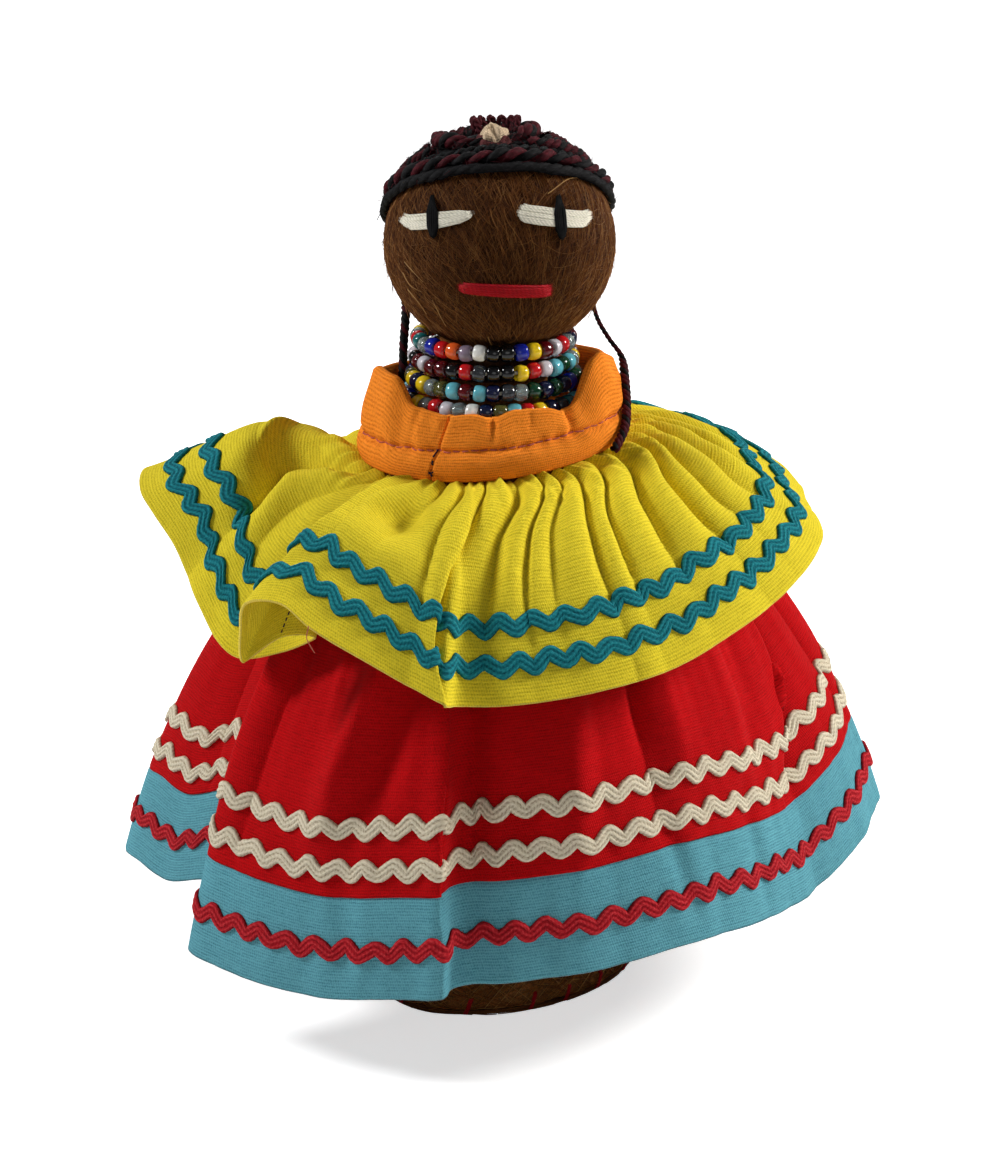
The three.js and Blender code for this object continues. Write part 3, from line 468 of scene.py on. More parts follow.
CAPE_HEM = [
    (2, 44, 83, 90), (-12, 41, 81, 106), (-27, 41.5, 80.5, 122), (-37.5, 35, 83.5, 138),
    (-47.5, 26, 86, 152), (-57, 14, 89, 166), (-62.5, 3, 91, 178), (-62.2, -3, 89, 184),
    (-59.6, -7, 86.2, 188), (-56, -11, 82.1, 192), (-53.7, -14, 77.8, 196), (-51.5, -18, 73.9, 201),
    (-48.4, -22, 69.2, 206), (-44.5, -24.3, 66.8, 210), (-37, -26, 68.5, 214),
    (-32, -28.8, 72, 218), (-36, -31.8, 73.2, 222), (-43.1, -32, 68.8, 226),
    (-43.3, -34.4, 75.6, 229), (-41.9, -37.4, 80.7, 232), (-36, -41, 81.9, 236),
    (-31.1, -44, 78.8, 240), (-21, -47, 73.4, 247), (-15, -48.7, 70.4, 252), (-9.6, -50.3, 68, 258),
    (-7.6, -47, 66.8, 262), (0, -46.8, 66.8, 268), (14, -45, 68.5, 280), (26, -39.5, 70.3, 294),
    (36, -32, 73.6, 308), (45.8, -21, 77.3, 322), (53, -8, 82.4, 338), (51.6, 3, 85.5, 352),
    (50.5, 12, 87, 365), (45.5, 22, 89.5, 380), (38, 31, 90.5, 396), (27, 36, 91.5, 412),
    (15, 43, 88, 430),
]


# Cloth


def front_share(angle):
    """How much of a sag in front a place round the neck gets."""
    return np.maximum(0, -np.sin(angle)) ** 2


def hem_line(rows, at):
    """x, y, z and degree at positions along the closed spline through the rows."""
    rows = np.asarray(rows, float)
    count = len(rows)

    def row(i):
        values = rows[i % count].copy()
        values[:, 3] += 360 * (i // count)
        return values

    def gap(a, b):
        return np.sqrt(np.linalg.norm((b - a)[:, :3], axis=1))[:, None]

    i = np.floor(at).astype(int)
    t = (at - i)[:, None]
    p0, p1, p2, p3 = (row(i + k) for k in (-1, 0, 1, 2))
    d0, d1, d2 = gap(p0, p1), gap(p1, p2), gap(p2, p3)
    m1 = ((p1 - p0) / d0 - (p2 - p0) / (d0 + d1) + (p2 - p1) / d1) * d1
    m2 = ((p2 - p1) / d1 - (p3 - p1) / (d1 + d2) + (p3 - p2) / d2) * d1
    rise = p2 - p1
    return p1 + m1 * t + (3 * rise - 2 * m1 - m2) * t**2 + (m1 + m2 - 2 * rise) * t**3


class Crease:
    """A fold line in the cloth: degrees of the neck oval at shares of the height, with a shape."""

    def __init__(self, line, depth, width, kind="valley", over=0.0):
        line = sorted(line)
        self.shares = [share for share, _ in line]
        self.degrees = [degree for _, degree in line]
        self.depth, self.width, self.kind, self.over = depth, width, kind, over

    def move(self, degree, share, scale):
        """Movement out of the cloth and along it, in millimetres; scale is millimetres to a degree."""
        middle = np.interp(share, self.shares, self.degrees)
        across = ((degree - middle + 180) % 360 - 180) * scale
        low, high = self.shares[0], self.shares[-1]
        run = max(0.1, 0.3 * (high - low))
        ends = smooth_step(share, low - run / 2, low + run)
        if high < 0.99:
            ends = ends * (1 - smooth_step(share, high - run, high + run / 2))
        near = bell(across / self.width)
        if self.kind == "valley":
            return self.depth * ends * (0.45 * bell(across / (2.6 * self.width)) - near), 0.0
        if self.kind == "ridge":
            return self.depth * ends * near, 0.0
        # The side before the line lies over the side after it.
        wall = -np.tanh(across / 0.5) * np.exp(-np.abs(across) / self.width)
        return self.depth * ends * wall, self.over * ends * wall


PLEAT_SHARES = (0.3, 0.5, 0.7, 0.95)


def pleat_lift(valleys, degree, share, scale):
    """Rounded folds between valley lines, each with its degrees at PLEAT_SHARES and its depth."""
    table = np.array([row[:4] for row in valleys], float)
    depths = np.array([row[4] for row in valleys], float)
    table = np.vstack([table[-1:] - 360, table, table[:1] + 360])
    depths = np.concatenate([depths[-1:], depths, depths[:1]])
    fine = np.linspace(PLEAT_SHARES[0], PLEAT_SHARES[-1], 60)
    bends = [np.interp(fine, PLEAT_SHARES, row) for row in table]
    spread = bell((fine[:, None] - fine[None]) / 0.075)
    bends = [spread @ row / spread.sum(1) for row in bends]
    lift = np.zeros(share.shape)
    for column, at in enumerate(share[0]):
        lines = np.array([np.interp(at, fine, row) for row in bends])
        turned = (degree[:, 0] - lines[0]) % 360 + lines[0]
        fold = np.clip(np.searchsorted(lines, turned, "right") - 1, 0, len(lines) - 2)
        wide = lines[fold + 1] - lines[fold]
        phase = ((turned - lines[fold]) / wide) ** (1 + 0.28 * np.sin(2.4 * fold))
        tall = depths[fold] * (1 - phase) + depths[fold + 1] * phase
        tall = np.minimum(tall, 0.5 * wide * scale[:, column])
        lift[:, column] = tall * (np.abs(np.sin(np.pi * phase)) ** 0.7 - 0.6)
    return lift


STATIONS = 900  # places round a hem


class Cloth:
    """A sheet that falls to a hem from an oval at the neck.

    neck holds the oval's half axes, height and sag in front. reach and drop place the knee of the fall
    between neck and hem, as shares of the way out and of the way down.
    """

    def __init__(self, hem, neck, reach, drop, rows, gathers, creases):
        stations = STATIONS
        fine = np.linspace(0, len(hem), 12000, endpoint=False)
        line = hem_line(hem, fine)
        run = run_of(line[:, :3], True)
        self.hem_length = run[-1]
        wanted = np.linspace(0, self.hem_length, stations, endpoint=False)
        at = np.interp(wanted, run, np.append(fine, len(hem)))
        values = hem_line(hem, at)
        edge, degree = values[:, :3], values[:, 3]
        angle = np.radians(degree)
        long, short, foot, sag = neck
        x = long * np.cos(angle)
        z = foot + COLLAR_LEAN * x - sag * front_share(angle)
        top = np.stack([NECK_X + x, short * np.sin(angle), z], 1)
        knee = top + (edge - top) * reach
        knee[:, 2] = top[:, 2] + (edge[:, 2] - top[:, 2]) * drop
        t = np.linspace(0, 1, 160)[None, :, None]
        fall = edge[:, None] * (1 - t) ** 2 + 2 * knee[:, None] * t * (1 - t) + top[:, None] * t**2
        down = np.array([run_of(path) for path in fall])
        self.lengths = down[:, -1]
        self.shares = np.linspace(0, 1, rows)
        points = np.empty((stations, rows, 3))
        for s in range(stations):
            for k in range(3):
                points[s, :, k] = np.interp(self.shares * down[s, -1], down[s], fall[s, :, k])
        self.degree, self.stations, self.rows = degree, stations, rows
        self.points = points
        self.find_normals()
        around = np.linalg.norm(steps_round(points), axis=2)
        turn = steps_round(degree) % 360
        scale = around / np.maximum(turn, 0.05)[:, None]
        share = np.broadcast_to(self.shares, (stations, rows))
        lift = gathers(degree[:, None], share, scale)
        shift = np.zeros_like(lift)
        for crease in creases:
            out, along = crease.move(degree[:, None], share, scale)
            lift = lift + out
            shift = shift + along
        ahead = unit(steps_round(points))
        self.points = points + self.normals * lift[..., None] + ahead * shift[..., None]
        self.find_normals()

    def find_normals(self):
        self.normals = unit(np.cross(steps_round(self.points), np.gradient(self.points, axis=1)))

    def station_of(self, degree):
        """The station whose degree is this one."""
        start = self.degree[0]
        degrees = np.maximum.accumulate(self.degree)
        return np.interp((degree - start) % 360 + start, degrees, np.arange(self.stations))

    def sample(self, station, height, lift=0.0):
        """Points over the outer face, at stations and at heights above the hem."""
        station = np.asarray(station, float) % self.stations
        length = np.interp(station, np.arange(self.stations + 1), np.append(self.lengths, self.lengths[0]))
        column = np.clip(np.asarray(height) / length, 0, 1) * (self.rows - 1)
        i, j = np.floor(station).astype(int), np.minimum(np.floor(column).astype(int), self.rows - 2)
        a, b = (station - i)[..., None], (column - j)[..., None]
        i, i2 = i % self.stations, (i + 1) % self.stations

        def blend(grid):
            low = grid[i, j] * (1 - a) + grid[i2, j] * a
            high = grid[i, j + 1] * (1 - a) + grid[i2, j + 1] * a
            return low * (1 - b) + high * b

        normal = unit(blend(self.normals))
        return blend(self.points) + normal * np.asarray(lift)[..., None], normal

    def part(self, low=0.0, high=None, hem=0.0, tuck=None):
        """The cloth between two heights above the hem, with its thickness and turned edge."""
        rows = 30 if high else self.rows
        high = self.lengths if high is None else np.full(self.stations, float(high))
        spots = low + (high[:, None] - low) * np.linspace(0, 1, rows)
        outer, normals = self.sample(np.repeat(np.arange(self.stations)[:, None], rows, 1), spots)
        heights = spots.mean(0)
        if tuck:
            outer = outer - normals * (CLOTH * smooth_step(heights, tuck - 0.5, tuck))[:, None]
        thick = CLOTH + hem * (1 - smooth_step(heights, 1.2, 2.0))
        ring = np.concatenate([outer, (outer - normals * thick[:, None])[:, ::-1]], 1)
        us = np.linspace(0, self.hem_length, self.stations + 1)
        vs = np.concatenate([heights, heights[::-1], heights[:1]])
        return grid_part(ring, (True, True), us, vs)


def rickrack(cloth, middle):
    """A zigzag tape on the cloth: rounded threads side by side along a waved line."""
    stations = np.arange(cloth.stations + 1)
    line, _ = cloth.sample(stations, np.full(len(stations), float(middle)))
    run = run_of(line)
    whole = run[-1]
    waves = round(whole / TAPE_PITCH)
    count = waves * 22
    u = np.linspace(0, whole, count, endpoint=False)
    phase = 2 * np.pi * waves * u / whole + 0.35 * np.sin(u * 0.21) + 0.25 * np.sin(u * 0.083 + 2)
    wave = np.arcsin(0.86 * np.sin(phase)) / 1.035
    swing = TAPE_SWING * (1 + 0.1 * np.sin(u * 0.31 + middle) + 0.1 * np.sin(u * 0.77 + 2 * middle))
    jitter = 0.14 * np.sin(u * 0.37) + 0.12 * np.sin(u * 0.151 + 1) + 0.07 * np.sin(u * 1.9)
    path = np.stack([u, middle + swing * wave + jitter], 1)
    ahead = steps_round(path)
    ahead[0, 0] += whole
    ahead[-1, 0] += whole
    ahead = unit(ahead)
    aside = unit(np.stack([-ahead[:, 1], ahead[:, 0] + 0.7], 1))
    across = np.linspace(-1, 1, TAPE_RIDGES * 6 + 1)
    edge = np.clip(1 - np.abs(across) ** 5, 0, 1) ** 0.5
    ridges = 0.5 + 0.5 * np.cos(np.pi * TAPE_RIDGES * across)
    top = edge * (TAPE_THICK - 0.13 + 0.13 * ridges)
    across = np.concatenate([across, across[::-1][3:-3:4]])
    lifts = np.concatenate([top + TAPE_LIFT, np.full(len(across) - len(top), 0.02)])
    rough = rng.normal(0, 0.035, (count, len(lifts)))
    lifts = lifts + rough * np.roll(rough, 1, 0).clip(-1, 1) * 8 + 0.5 * rough * (lifts > 0.05)
    frayed = 1 + 0.05 * np.sin(u * 2.3 + middle) + rng.normal(0, 0.02, count)
    spot = path[:, None] + aside[:, None] * (frayed[:, None] * across * TAPE_WIDTH / 2)[..., None]
    station = np.interp(spot[..., 0] % whole, run, stations)
    points, _ = cloth.sample(station, spot[..., 1], lifts)
    slope = np.linalg.norm(np.roll(path, -1, 0) - path, axis=1)
    slope[-1] = slope[0]
    us = np.concatenate([[0], np.cumsum(slope)])
    vs = np.append(across, across[0]) * TAPE_WIDTH / 2
    return grid_part(points, (True, True), us, vs)


# Looks

YELLOW = linear(233, 211, 50)
RED = linear(188, 3, 10)
TURQUOISE = linear(98, 164, 178)
ORANGE = linear(246, 140, 40)
MAROON = linear(70, 10, 20)
BLACK = linear(12, 11, 13)

yellow_cotton = cotton("yellow cotton", YELLOW, edge=linear(236, 200, 160))
red_cotton = cotton("red cotton", RED, contrast=0.3)
turquoise_cotton = cotton("turquoise cotton", TURQUOISE, contrast=0.3, edge=linear(150, 130, 110))
orange_cotton = cotton("orange cotton", ORANGE, 0.56, 0.3, contrast=0.3)
cream_cotton = cotton("cream cotton", linear(222, 196, 164))
# Mauve: painted shade under the crown puff.
puff_shade_cotton = cotton("mauve painted shade under the puff", linear(104, 58, 58))
# Tapes: colour of the painted shade in the grooves, own colour, colour of the painted highlight on the
# ridges.
teal_tape = tape("teal tape", linear(4, 62, 72), linear(12, 112, 124), linear(44, 152, 158))
cream_tape = tape("cream tape", linear(150, 132, 108), linear(212, 200, 174), linear(236, 228, 208))
red_tape = tape("dark red tape", linear(108, 6, 16), linear(172, 17, 30), linear(212, 64, 68))
# Yarns: own colour, then the colour of the painted highlight on the twist.
black_cord = yarn("black cord", BLACK, linear(46, 46, 48))
maroon_cord = yarn("maroon cord", MAROON, linear(118, 34, 48))
# A near-black cord whose grey is a painted sheen on the high places of its twist.
grey_sheen_cord = yarn("black cord with painted grey sheen", linear(26, 29, 30), linear(92, 98, 98))
white_thread = yarn("white thread", linear(240, 234, 214), linear(255, 252, 242), 0.7, 0.5, 0.1)
black_thread = yarn("black thread", linear(2, 2, 3), linear(8, 8, 9), 0.7, 0.85, 0.0)
red_thread = yarn("red thread", linear(176, 4, 22), linear(214, 30, 44), 0.7, 0.5, 0.05)
seam_thread = yarn("seam thread", linear(206, 104, 84), linear(240, 160, 130))
navy_thread = yarn("navy thread", linear(34, 26, 40), linear(60, 50, 66))
fibre_ground = fibre("palmetto fibre", linear(62, 32, 12), linear(100, 58, 26))
fibre_dark = yarn("dark fibre", linear(96, 52, 18), linear(124, 74, 32), 3.0, 0.6)
fibre_mid = yarn("brown fibre", linear(134, 80, 34), linear(162, 104, 50), 3.0, 0.6)
fibre_light = yarn("golden fibre", linear(172, 116, 62), linear(206, 156, 100), 3.0, 0.6)
# The fibre at the foot is paler than the head's: partly its own golden tone, partly painted light that
# makes up for the dress's shadow over the foot.
gold_ground_painted_light = fibre("palmetto at the foot, painted lighter", linear(128, 72, 26), linear(178, 112, 50))
gold_dark_painted_light = yarn("brown fibre at the foot, painted lighter", linear(150, 86, 34), linear(184, 116, 54), 3.0, 0.6)
gold_mid_painted_light = yarn("golden fibre at the foot, painted lighter", linear(182, 118, 54), linear(212, 154, 88), 3.0, 0.6)
gold_pale_painted_light = yarn("pale fibre at the foot, painted lighter", linear(206, 154, 92), linear(232, 190, 130), 3.0, 0.6)
stuffing = cotton("cotton stuffing", linear(214, 199, 168))
cardboard = cotton("cardboard", linear(158, 128, 92), 2.0, 1.5, 0.1)

# Looks of the solids that stay, all of them inside
for name, look in {
    "base_board": cardboard,
    "body_stuffing": stuffing,
    "head_stuffing": stuffing,
    "neck_tie": black_thread,
}.items():
    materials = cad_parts[name].data.materials
    materials.clear()
    materials.append(look)


# Dress, hem band and cape


def wave_sum(value, terms):
    return sum(size * np.sin(pitch * value + phase) for size, pitch, phase in terms)


# Valleys of the folds: degrees at PLEAT_SHARES, then the depth
DRESS_VALLEYS = [
    (214, 214, 216, 216, 2.6), (251, 252.5, 251, 252, 2.4), (264, 263, 262, 262, 3.6),
    (296.5, 297, 298.5, 300, 2.4), (333, 340, 339, 339, 3.4), (358, 358, 358, 358, 2.6),
    (385, 383, 382, 382, 3.4), (402, 402, 402, 402, 3.0), (424, 426, 427, 427, 3.6),
    (446, 445, 444, 444, 3.1), (462, 463, 464, 464, 2.7), (484, 483, 482, 482, 3.5),
    (503, 504, 505, 505, 3.2), (524, 523, 522, 522, 2.8), (545, 545, 545, 545, 2.0),
    (562, 560, 560, 560, 1.6),
]
CAPE_VALLEYS = [
    (204, 203, 203, 215, 1.6), (236, 237, 236, 240, 0.9), (243, 243, 245, 250, 0.9),
    (251, 251.5, 252.5, 260, 1.4), (254.7, 256.5, 261, 267, 3.6), (265, 266.5, 269, 280, 3.4),
    (271.5, 272.2, 275.5, 290, 2.4), (276, 277, 280, 297.5, 1.6), (287.2, 287.8, 291, 303, 3.6),
    (293, 294, 297, 316, 2.2), (304, 306, 310, 329, 3.6), (318, 317.4, 321, 346, 3.2),
    (326, 325, 332, 360, 2.4), (335, 336, 352, 376, 2.4), (348, 352, 368, 388, 2.8),
    (362, 368, 382, 399, 2.8), (378, 384, 394, 411, 3.2), (396, 400, 408, 420, 2.8),
    (412, 415, 420, 431, 2.6), (430, 432, 436, 442, 3.2), (446, 448, 450, 454, 2.6),
    (464, 464, 463, 466, 3.2), (480, 478, 476, 478, 2.7), (497, 492, 486, 490, 3.6),
    (535, 529, 514, 532, 5.2), (557, 553, 542, 566, 4.4),
]


# Swells of the cape: height, then degree and share of the middle, and how far it reaches in both
CAPE_SWELLS = [
    (4.2, 173, 0.42, 13, 0.27),
    (-2.6, 140, 0.55, 17, 0.26),
    (-1.6, 220, 0.45, 10, 0.25),
    (-3.0, 244, 0.69, 5, 0.11),
    (0.9, 244, 0.46, 8, 0.08),
]


def dress_gathers(degree, share, scale):
    angle = np.radians(degree)
    folds = 1.15 * pleat_lift(DRESS_VALLEYS, degree, share, scale)
    folds = folds * (0.18 + 0.82 * smooth_step(share, 0.16, 0.42))
    fine = wave_sum(angle, [(0.12, 61, 0.2), (0.1, 97, 2.0), (0.1, 43, 1.0)])
    edge = 0.35 * (1 - smooth_step(share, 0, 0.3)) * wave_sum(angle, [(0.5, 23, 1), (0.4, 37, 2.2)])
    return folds + fine * (0.3 + 1.2 * smooth_step(share, 0.4, 0.9)) + edge - 0.3


def cape_gathers(degree, share, scale):
    angle = np.radians(degree)
    folds = pleat_lift(CAPE_VALLEYS, degree, share, scale)
    folds = folds * (0.12 + 0.88 * smooth_step(share, 0.2, 0.55)) * (1 - 0.3 * smooth_step(share, 0.85, 1))
    drawn = wave_sum(angle, [(0.3, 57, 0.9), (0.22, 83, 2.6)]) * smooth_step(share, 0.7, 1)
    lift = folds + drawn + 0.12 * wave_sum(angle, [(1, 19, 0.3), (0.8, 31, 1.2)]) - 0.2
    for tall, middle, height, wide, high in CAPE_SWELLS:
        around = (degree - middle + 180) % 360 - 180
        lift = lift + tall * np.exp(-((around / wide) ** 2) - ((share - height) / high) ** 2)
    return lift


# Folds where one side lies over the other: shares of the height and degrees of their lines
LEFT_STEP = [(0.16, 252), (0.3, 251), (0.38, 251.2), (0.48, 252.6), (0.56, 252.1), (0.7, 247)]
RIGHT_STEP = [(0.24, 330), (0.34, 334.8), (0.42, 339.2), (0.54, 339.2), (0.75, 334)]
CAPE_STEP = [(0, 258), (0.1, 256), (0.2, 254.6), (0.33, 254.7), (0.5, 256.5), (0.72, 262.1), (0.91, 266.2)]

dress = Cloth(
    DRESS_HEM,
    neck=(19.9, 17.1, COLLAR_FOOT - 3.5, 0),
    reach=0.7,
    drop=0.3,
    rows=160,
    gathers=dress_gathers,
    creases=[
        Crease(LEFT_STEP, 2.2, 6, "step", 1.6),
        Crease(RIGHT_STEP, 2.4, 6, "step", 3.0),
        Crease([(0.3, 228), (0.4, 229.4), (0.5, 231.7), (0.62, 236.2), (0.8, 240)], 3.4, 3.2, "ridge"),
        Crease([(0.34, 236), (0.42, 238), (0.52, 241), (0.66, 244)], 2.0, 3.2),
        Crease([(0.42, 296.5), (0.5, 297), (0.58, 298), (0.72, 299)], 1.7, 1.4),
        Crease([(0.2, 282), (0.4, 283), (0.75, 285)], 1.5, 2.6, "ridge"),
        Crease([(0.24, 274), (0.45, 275), (0.75, 276)], 1.3, 2.8),
        Crease([(0.34, 304), (0.5, 304), (0.74, 305)], 1.5, 3.0, "ridge"),
        Crease([(0.28, 322), (0.45, 326), (0.7, 327)], 1.8, 3.2),
        Crease([(0.0, 301), (0.12, 300), (0.3, 297)], 0.9, 2.2),
        Crease([(0.0, 318), (0.12, 317), (0.3, 316)], 0.8, 2.6),
        Crease([(0.0, 234), (0.12, 234), (0.3, 233)], 0.8, 2.6),
    ],
)
cape = Cloth(
    CAPE_HEM,
    neck=(21.4, 18.6, COLLAR_FOOT - 0.3, COLLAR_SAG),
    reach=0.56,
    drop=0.03,
    rows=130,
    gathers=cape_gathers,
    creases=[
        Crease(CAPE_STEP, 1.2, 5, "step", 1.3),
        Crease([(0.3, 232), (0.42, 233.2), (0.5, 234), (0.7, 234), (0.98, 233.5)], -2.6, 5, "step", 1.6),
        Crease([(0.6, 240), (0.68, 241.5), (0.8, 246), (0.95, 250)], 1.5, 2.6),
        Crease([(0.35, 195.5), (0.46, 193.6), (0.62, 187), (0.8, 188), (0.95, 210)], 2.4, 4.0),
        Crease([(0.4, 186), (0.54, 184), (0.66, 166), (0.8, 163), (0.93, 185)], 1.2, 2.4, "ridge"),
    ],
)

dress_piece = build("dress_cloth", [dress.part(BAND_TALL)], [red_cotton], ["dress"])
band_piece = build(
    "hem_band_cloth",
    [dress.part(0, BAND_TALL + 0.4, 0.25, BAND_TALL)],
    [turquoise_cotton],
    ["hem_band"],
)
cape_piece = build("cape_cloth", [cape.part(hem=0.12)], [yellow_cotton], ["cape"])

for name, cloth, middle, look, slot in (
    ("dress_rickrack_lower", dress, 21.4, cream_tape, "tape_cream"),
    ("dress_rickrack_upper", dress, 28.4, cream_tape, "tape_cream"),
    ("hem_rickrack", dress, 8.2, red_tape, "tape_dark_red"),
    ("cape_rickrack_lower", cape, 6.4, teal_tape, "tape_teal"),
    ("cape_rickrack_upper", cape, 12.9, teal_tape, "tape_teal"),
):
    build(name + "_tape", [rickrack(cloth, middle)], [look], [name])


# Base and body


def body_size(height):
    levels = [0, BELLY_HEIGHT / 3, BELLY_HEIGHT, 70.5, SHOULDER_HEIGHT, 99, 104, 119.5]
    longs = [BASE_LONG, BASE_LONG, BELLY_LONG, 20.6, SHOULDER_LONG, 15.9, NECK_RADIUS, NECK_RADIUS]
    shorts = [BASE_SHORT, 18.8, BELLY_SHORT, 17.8, SHOULDER_SHORT, 14.6, NECK_RADIUS, NECK_RADIUS]
    return np.interp(height, levels, longs), np.interp(height, levels, shorts)


def body_point(angle, height, out, size=None):
    """Points of the body's side, at angles and heights, lifted off it. size replaces its half axes."""
    long, short = size or body_size(height)
    share = np.minimum(1, height / SHOULDER_HEIGHT)
    away = angle - np.radians(BASE_TURN * (1 - share))
    reach = 1 / np.hypot(np.cos(away) / long, np.sin(away) / short) + out
    x = NECK_X * share + reach * np.cos(angle)
    return np.stack([x, reach * np.sin(angle), np.broadcast_to(height, x.shape)], -1)


def circle_of(count):
    """Angles of even places round a circle."""
    return 2 * np.pi * np.arange(count) / count


heights = np.concatenate([np.linspace(1.3, 40, 40), np.linspace(42, 119, 50)])
body_grid = body_point(*np.meshgrid(circle_of(120), heights, indexing="ij"), 0.0)
body_grid += 0.15 * np.sin(body_grid[..., :1] * 1.1) * np.sin(body_grid[..., 2:] * 0.9)


def body_fibres(count, low, high):
    steps = 9
    angle = rng.random(count) * 2 * np.pi
    middle = low + rng.random(count) * (high - low)
    slope = np.where(rng.random(count) < 0.5, 1, -1) * rng.uniform(0.25, 1.3, count)
    length = rng.uniform(7, 20, count)
    t = np.linspace(-0.5, 0.5, steps)
    along = length[:, None] * t
    turn = along * np.cos(np.arctan(slope))[:, None] / 21
    rise = along * np.sin(np.arctan(slope))[:, None] + rng.normal(0, 1.5, (count, 1)) * (t**2)
    height = middle[:, None] + rise
    ends = 1 - (2 * np.abs(t)) ** 6
    lift = (0.05 + 0.4 * rng.random((count, 1)) * ends) + 0.08
    high_point = np.clip(height, 1.4, None)
    points = body_point(angle[:, None] + turn, high_point, lift)
    ups = body_point(angle[:, None] + turn, high_point, lift + 1) - points
    radii = rng.uniform(0.045, 0.1, (count, 1)) * np.maximum(ends, 0.25)
    looks = rng.choice([1, 2, 3], count, p=[0.4, 0.4, 0.2])
    return sweep_part(points, ups, radii, 3, materials=looks)


body_piece = build(
    "body_fibre",
    [grid_part(body_grid, (True, False)), body_fibres(BODY_FIBRES, 1, 46)],
    [gold_ground_painted_light, gold_dark_painted_light, gold_mid_painted_light, gold_pale_painted_light],
    ["body_cover"],
)

# The base: a disc with a rounded rim, bound with fibre and sewn on with red thread
RIM = [(12, 0.0), (3, 0.0), (0.5, 0.05), (0.12, 0.25), (0, 0.55), (0.12, 0.85), (0.6, 1.1), (3, 1.15)]
rim = [body_point(circle_of(160), z, -inset, (BASE_LONG, BASE_SHORT)) for inset, z in RIM]
rim.insert(0, rim[0] * [0.02, 0.02, 1])
base_parts = [grid_part(np.stack(rim, 1), (True, False))]
binding = []
for k in range(BASE_BINDING):
    centre = 2 * np.pi * (k + rng.uniform(-0.3, 0.3)) / BASE_BINDING
    span = rng.uniform(0.12, 0.3)
    a = centre + np.linspace(-span, span, 9)
    z = 0.15 + 0.85 * rng.random() + 0.3 * rng.uniform(-1, 1) * np.linspace(-1, 1, 9)
    z = np.clip(z, 0.12, 1.15)
    binding.append(body_point(a, z, 0.06 + 0.06 * rng.random()))
binding = np.array(binding)
outward = unit(binding * [1, 1, 0])
radii = rng.uniform(0.07, 0.13, (BASE_BINDING, 1))
looks = rng.choice([1, 1, 2], BASE_BINDING)
base_parts.append(sweep_part(binding, outward, radii, 3, materials=looks))
build("base_disc", base_parts, [fibre_ground, fibre_dark, fibre_mid], ["base_cover"])

# A stitch of two threads: turn from its place, height, and distance from the body's side
STITCH_TURN = np.array([-0.02, -0.015, -0.005, 0.01, 0.02, 0.03, 0.035])
STITCH_HEIGHT = np.array([0.35, 0.5, 1.0, 1.6, 2.4, 3.0, 3.3])
STITCH_OUT = np.array([-0.1, 0.28, 0.42, 0.4, 0.5, 0.45, 0.0])
stitch_parts = []
for degree in (196, 222, 251, 282, 303, 326, 351, 20, 52, 84, 113, 141, 169):
    for shift in (0, 0.016):
        line = body_point(math.radians(degree) + STITCH_TURN + shift, STITCH_HEIGHT, STITCH_OUT)
        stitch_parts.append(sweep_part(one(line), one(unit(line * [1, 1, 0])), 0.2, 8))
build("base_stitches", stitch_parts, [red_thread])


# Head


def head_point(direction, lift):
    """A point over the head in a direction from its middle, and the outward normal there."""
    size = np.array([HEAD_WIDE, HEAD_WIDE, HEAD_TALL])
    direction = unit(direction)
    reach = 1 / np.linalg.norm(direction / size, axis=-1, keepdims=True)
    normal = unit(direction / size**2)
    return direction * reach + normal * np.asarray(lift)[..., None] + HEAD_MIDDLE, normal


SLEEVE_RADIUS, SLEEVE_TALL = 10.2, 5.5


def head_ball():
    sides = 140
    around = circle_of(sides)
    a, b = np.meshgrid(around, np.linspace(0.02, np.pi - 0.45, 90), indexing="ij")
    direction = np.stack([np.sin(b) * np.cos(a), np.sin(b) * np.sin(a), np.cos(b)], -1)
    lump = 0.22 * np.sin(5 * direction[..., 0] + 1) * np.sin(4 * direction[..., 2])
    lump = lump + 0.14 * np.sin(9 * direction[..., 1] + 6 * direction[..., 2])
    points, _ = head_point(direction, lump - 0.25)
    # A sleeve goes on from the ball's lower edge down the neck
    edge = points[:, -1]
    wide = np.linalg.norm((edge - HEAD_MIDDLE)[:, :2], axis=1).mean()
    sleeve = []
    for share in np.linspace(0, 1, 14)[1:]:
        radius = wide + (SLEEVE_RADIUS - wide) * smooth_step(share, 0, 0.4)
        middle = HEAD_MIDDLE[0] + (NECK_X - HEAD_MIDDLE[0]) * share
        z = np.full(sides, edge[:, 2].mean() - SLEEVE_TALL * share)
        sleeve.append(np.stack([middle + radius * np.cos(around), radius * np.sin(around), z], 1))
    grid = np.concatenate([points, np.stack(sleeve, 1)], 1)
    return grid_part(grid[:, ::-1], (True, False))


def combed(start):
    """The way that the fibres lie at a place: down to the doll's left on one side, steeper on the other."""
    lean = np.interp(start[:, 0], [-0.95, -0.4, 0.1, 0.6, 0.95], [56, 44, 16, -18, -32])
    return np.radians(lean)


def heading_of(start, turn):
    """A direction over the ball, turned from straight down towards the doll's left."""
    east = unit(np.cross(start, [0, 0, -1.0]) + 1e-6)
    south = np.cross(east, start)
    return south * np.cos(turn)[:, None] + east * np.sin(turn)[:, None]


TOP_STRAND = (12.6, 115.2)  # radius and height of the upper strand of beads
BEAD_ROOM = 1.9  # room that is kept round its thread


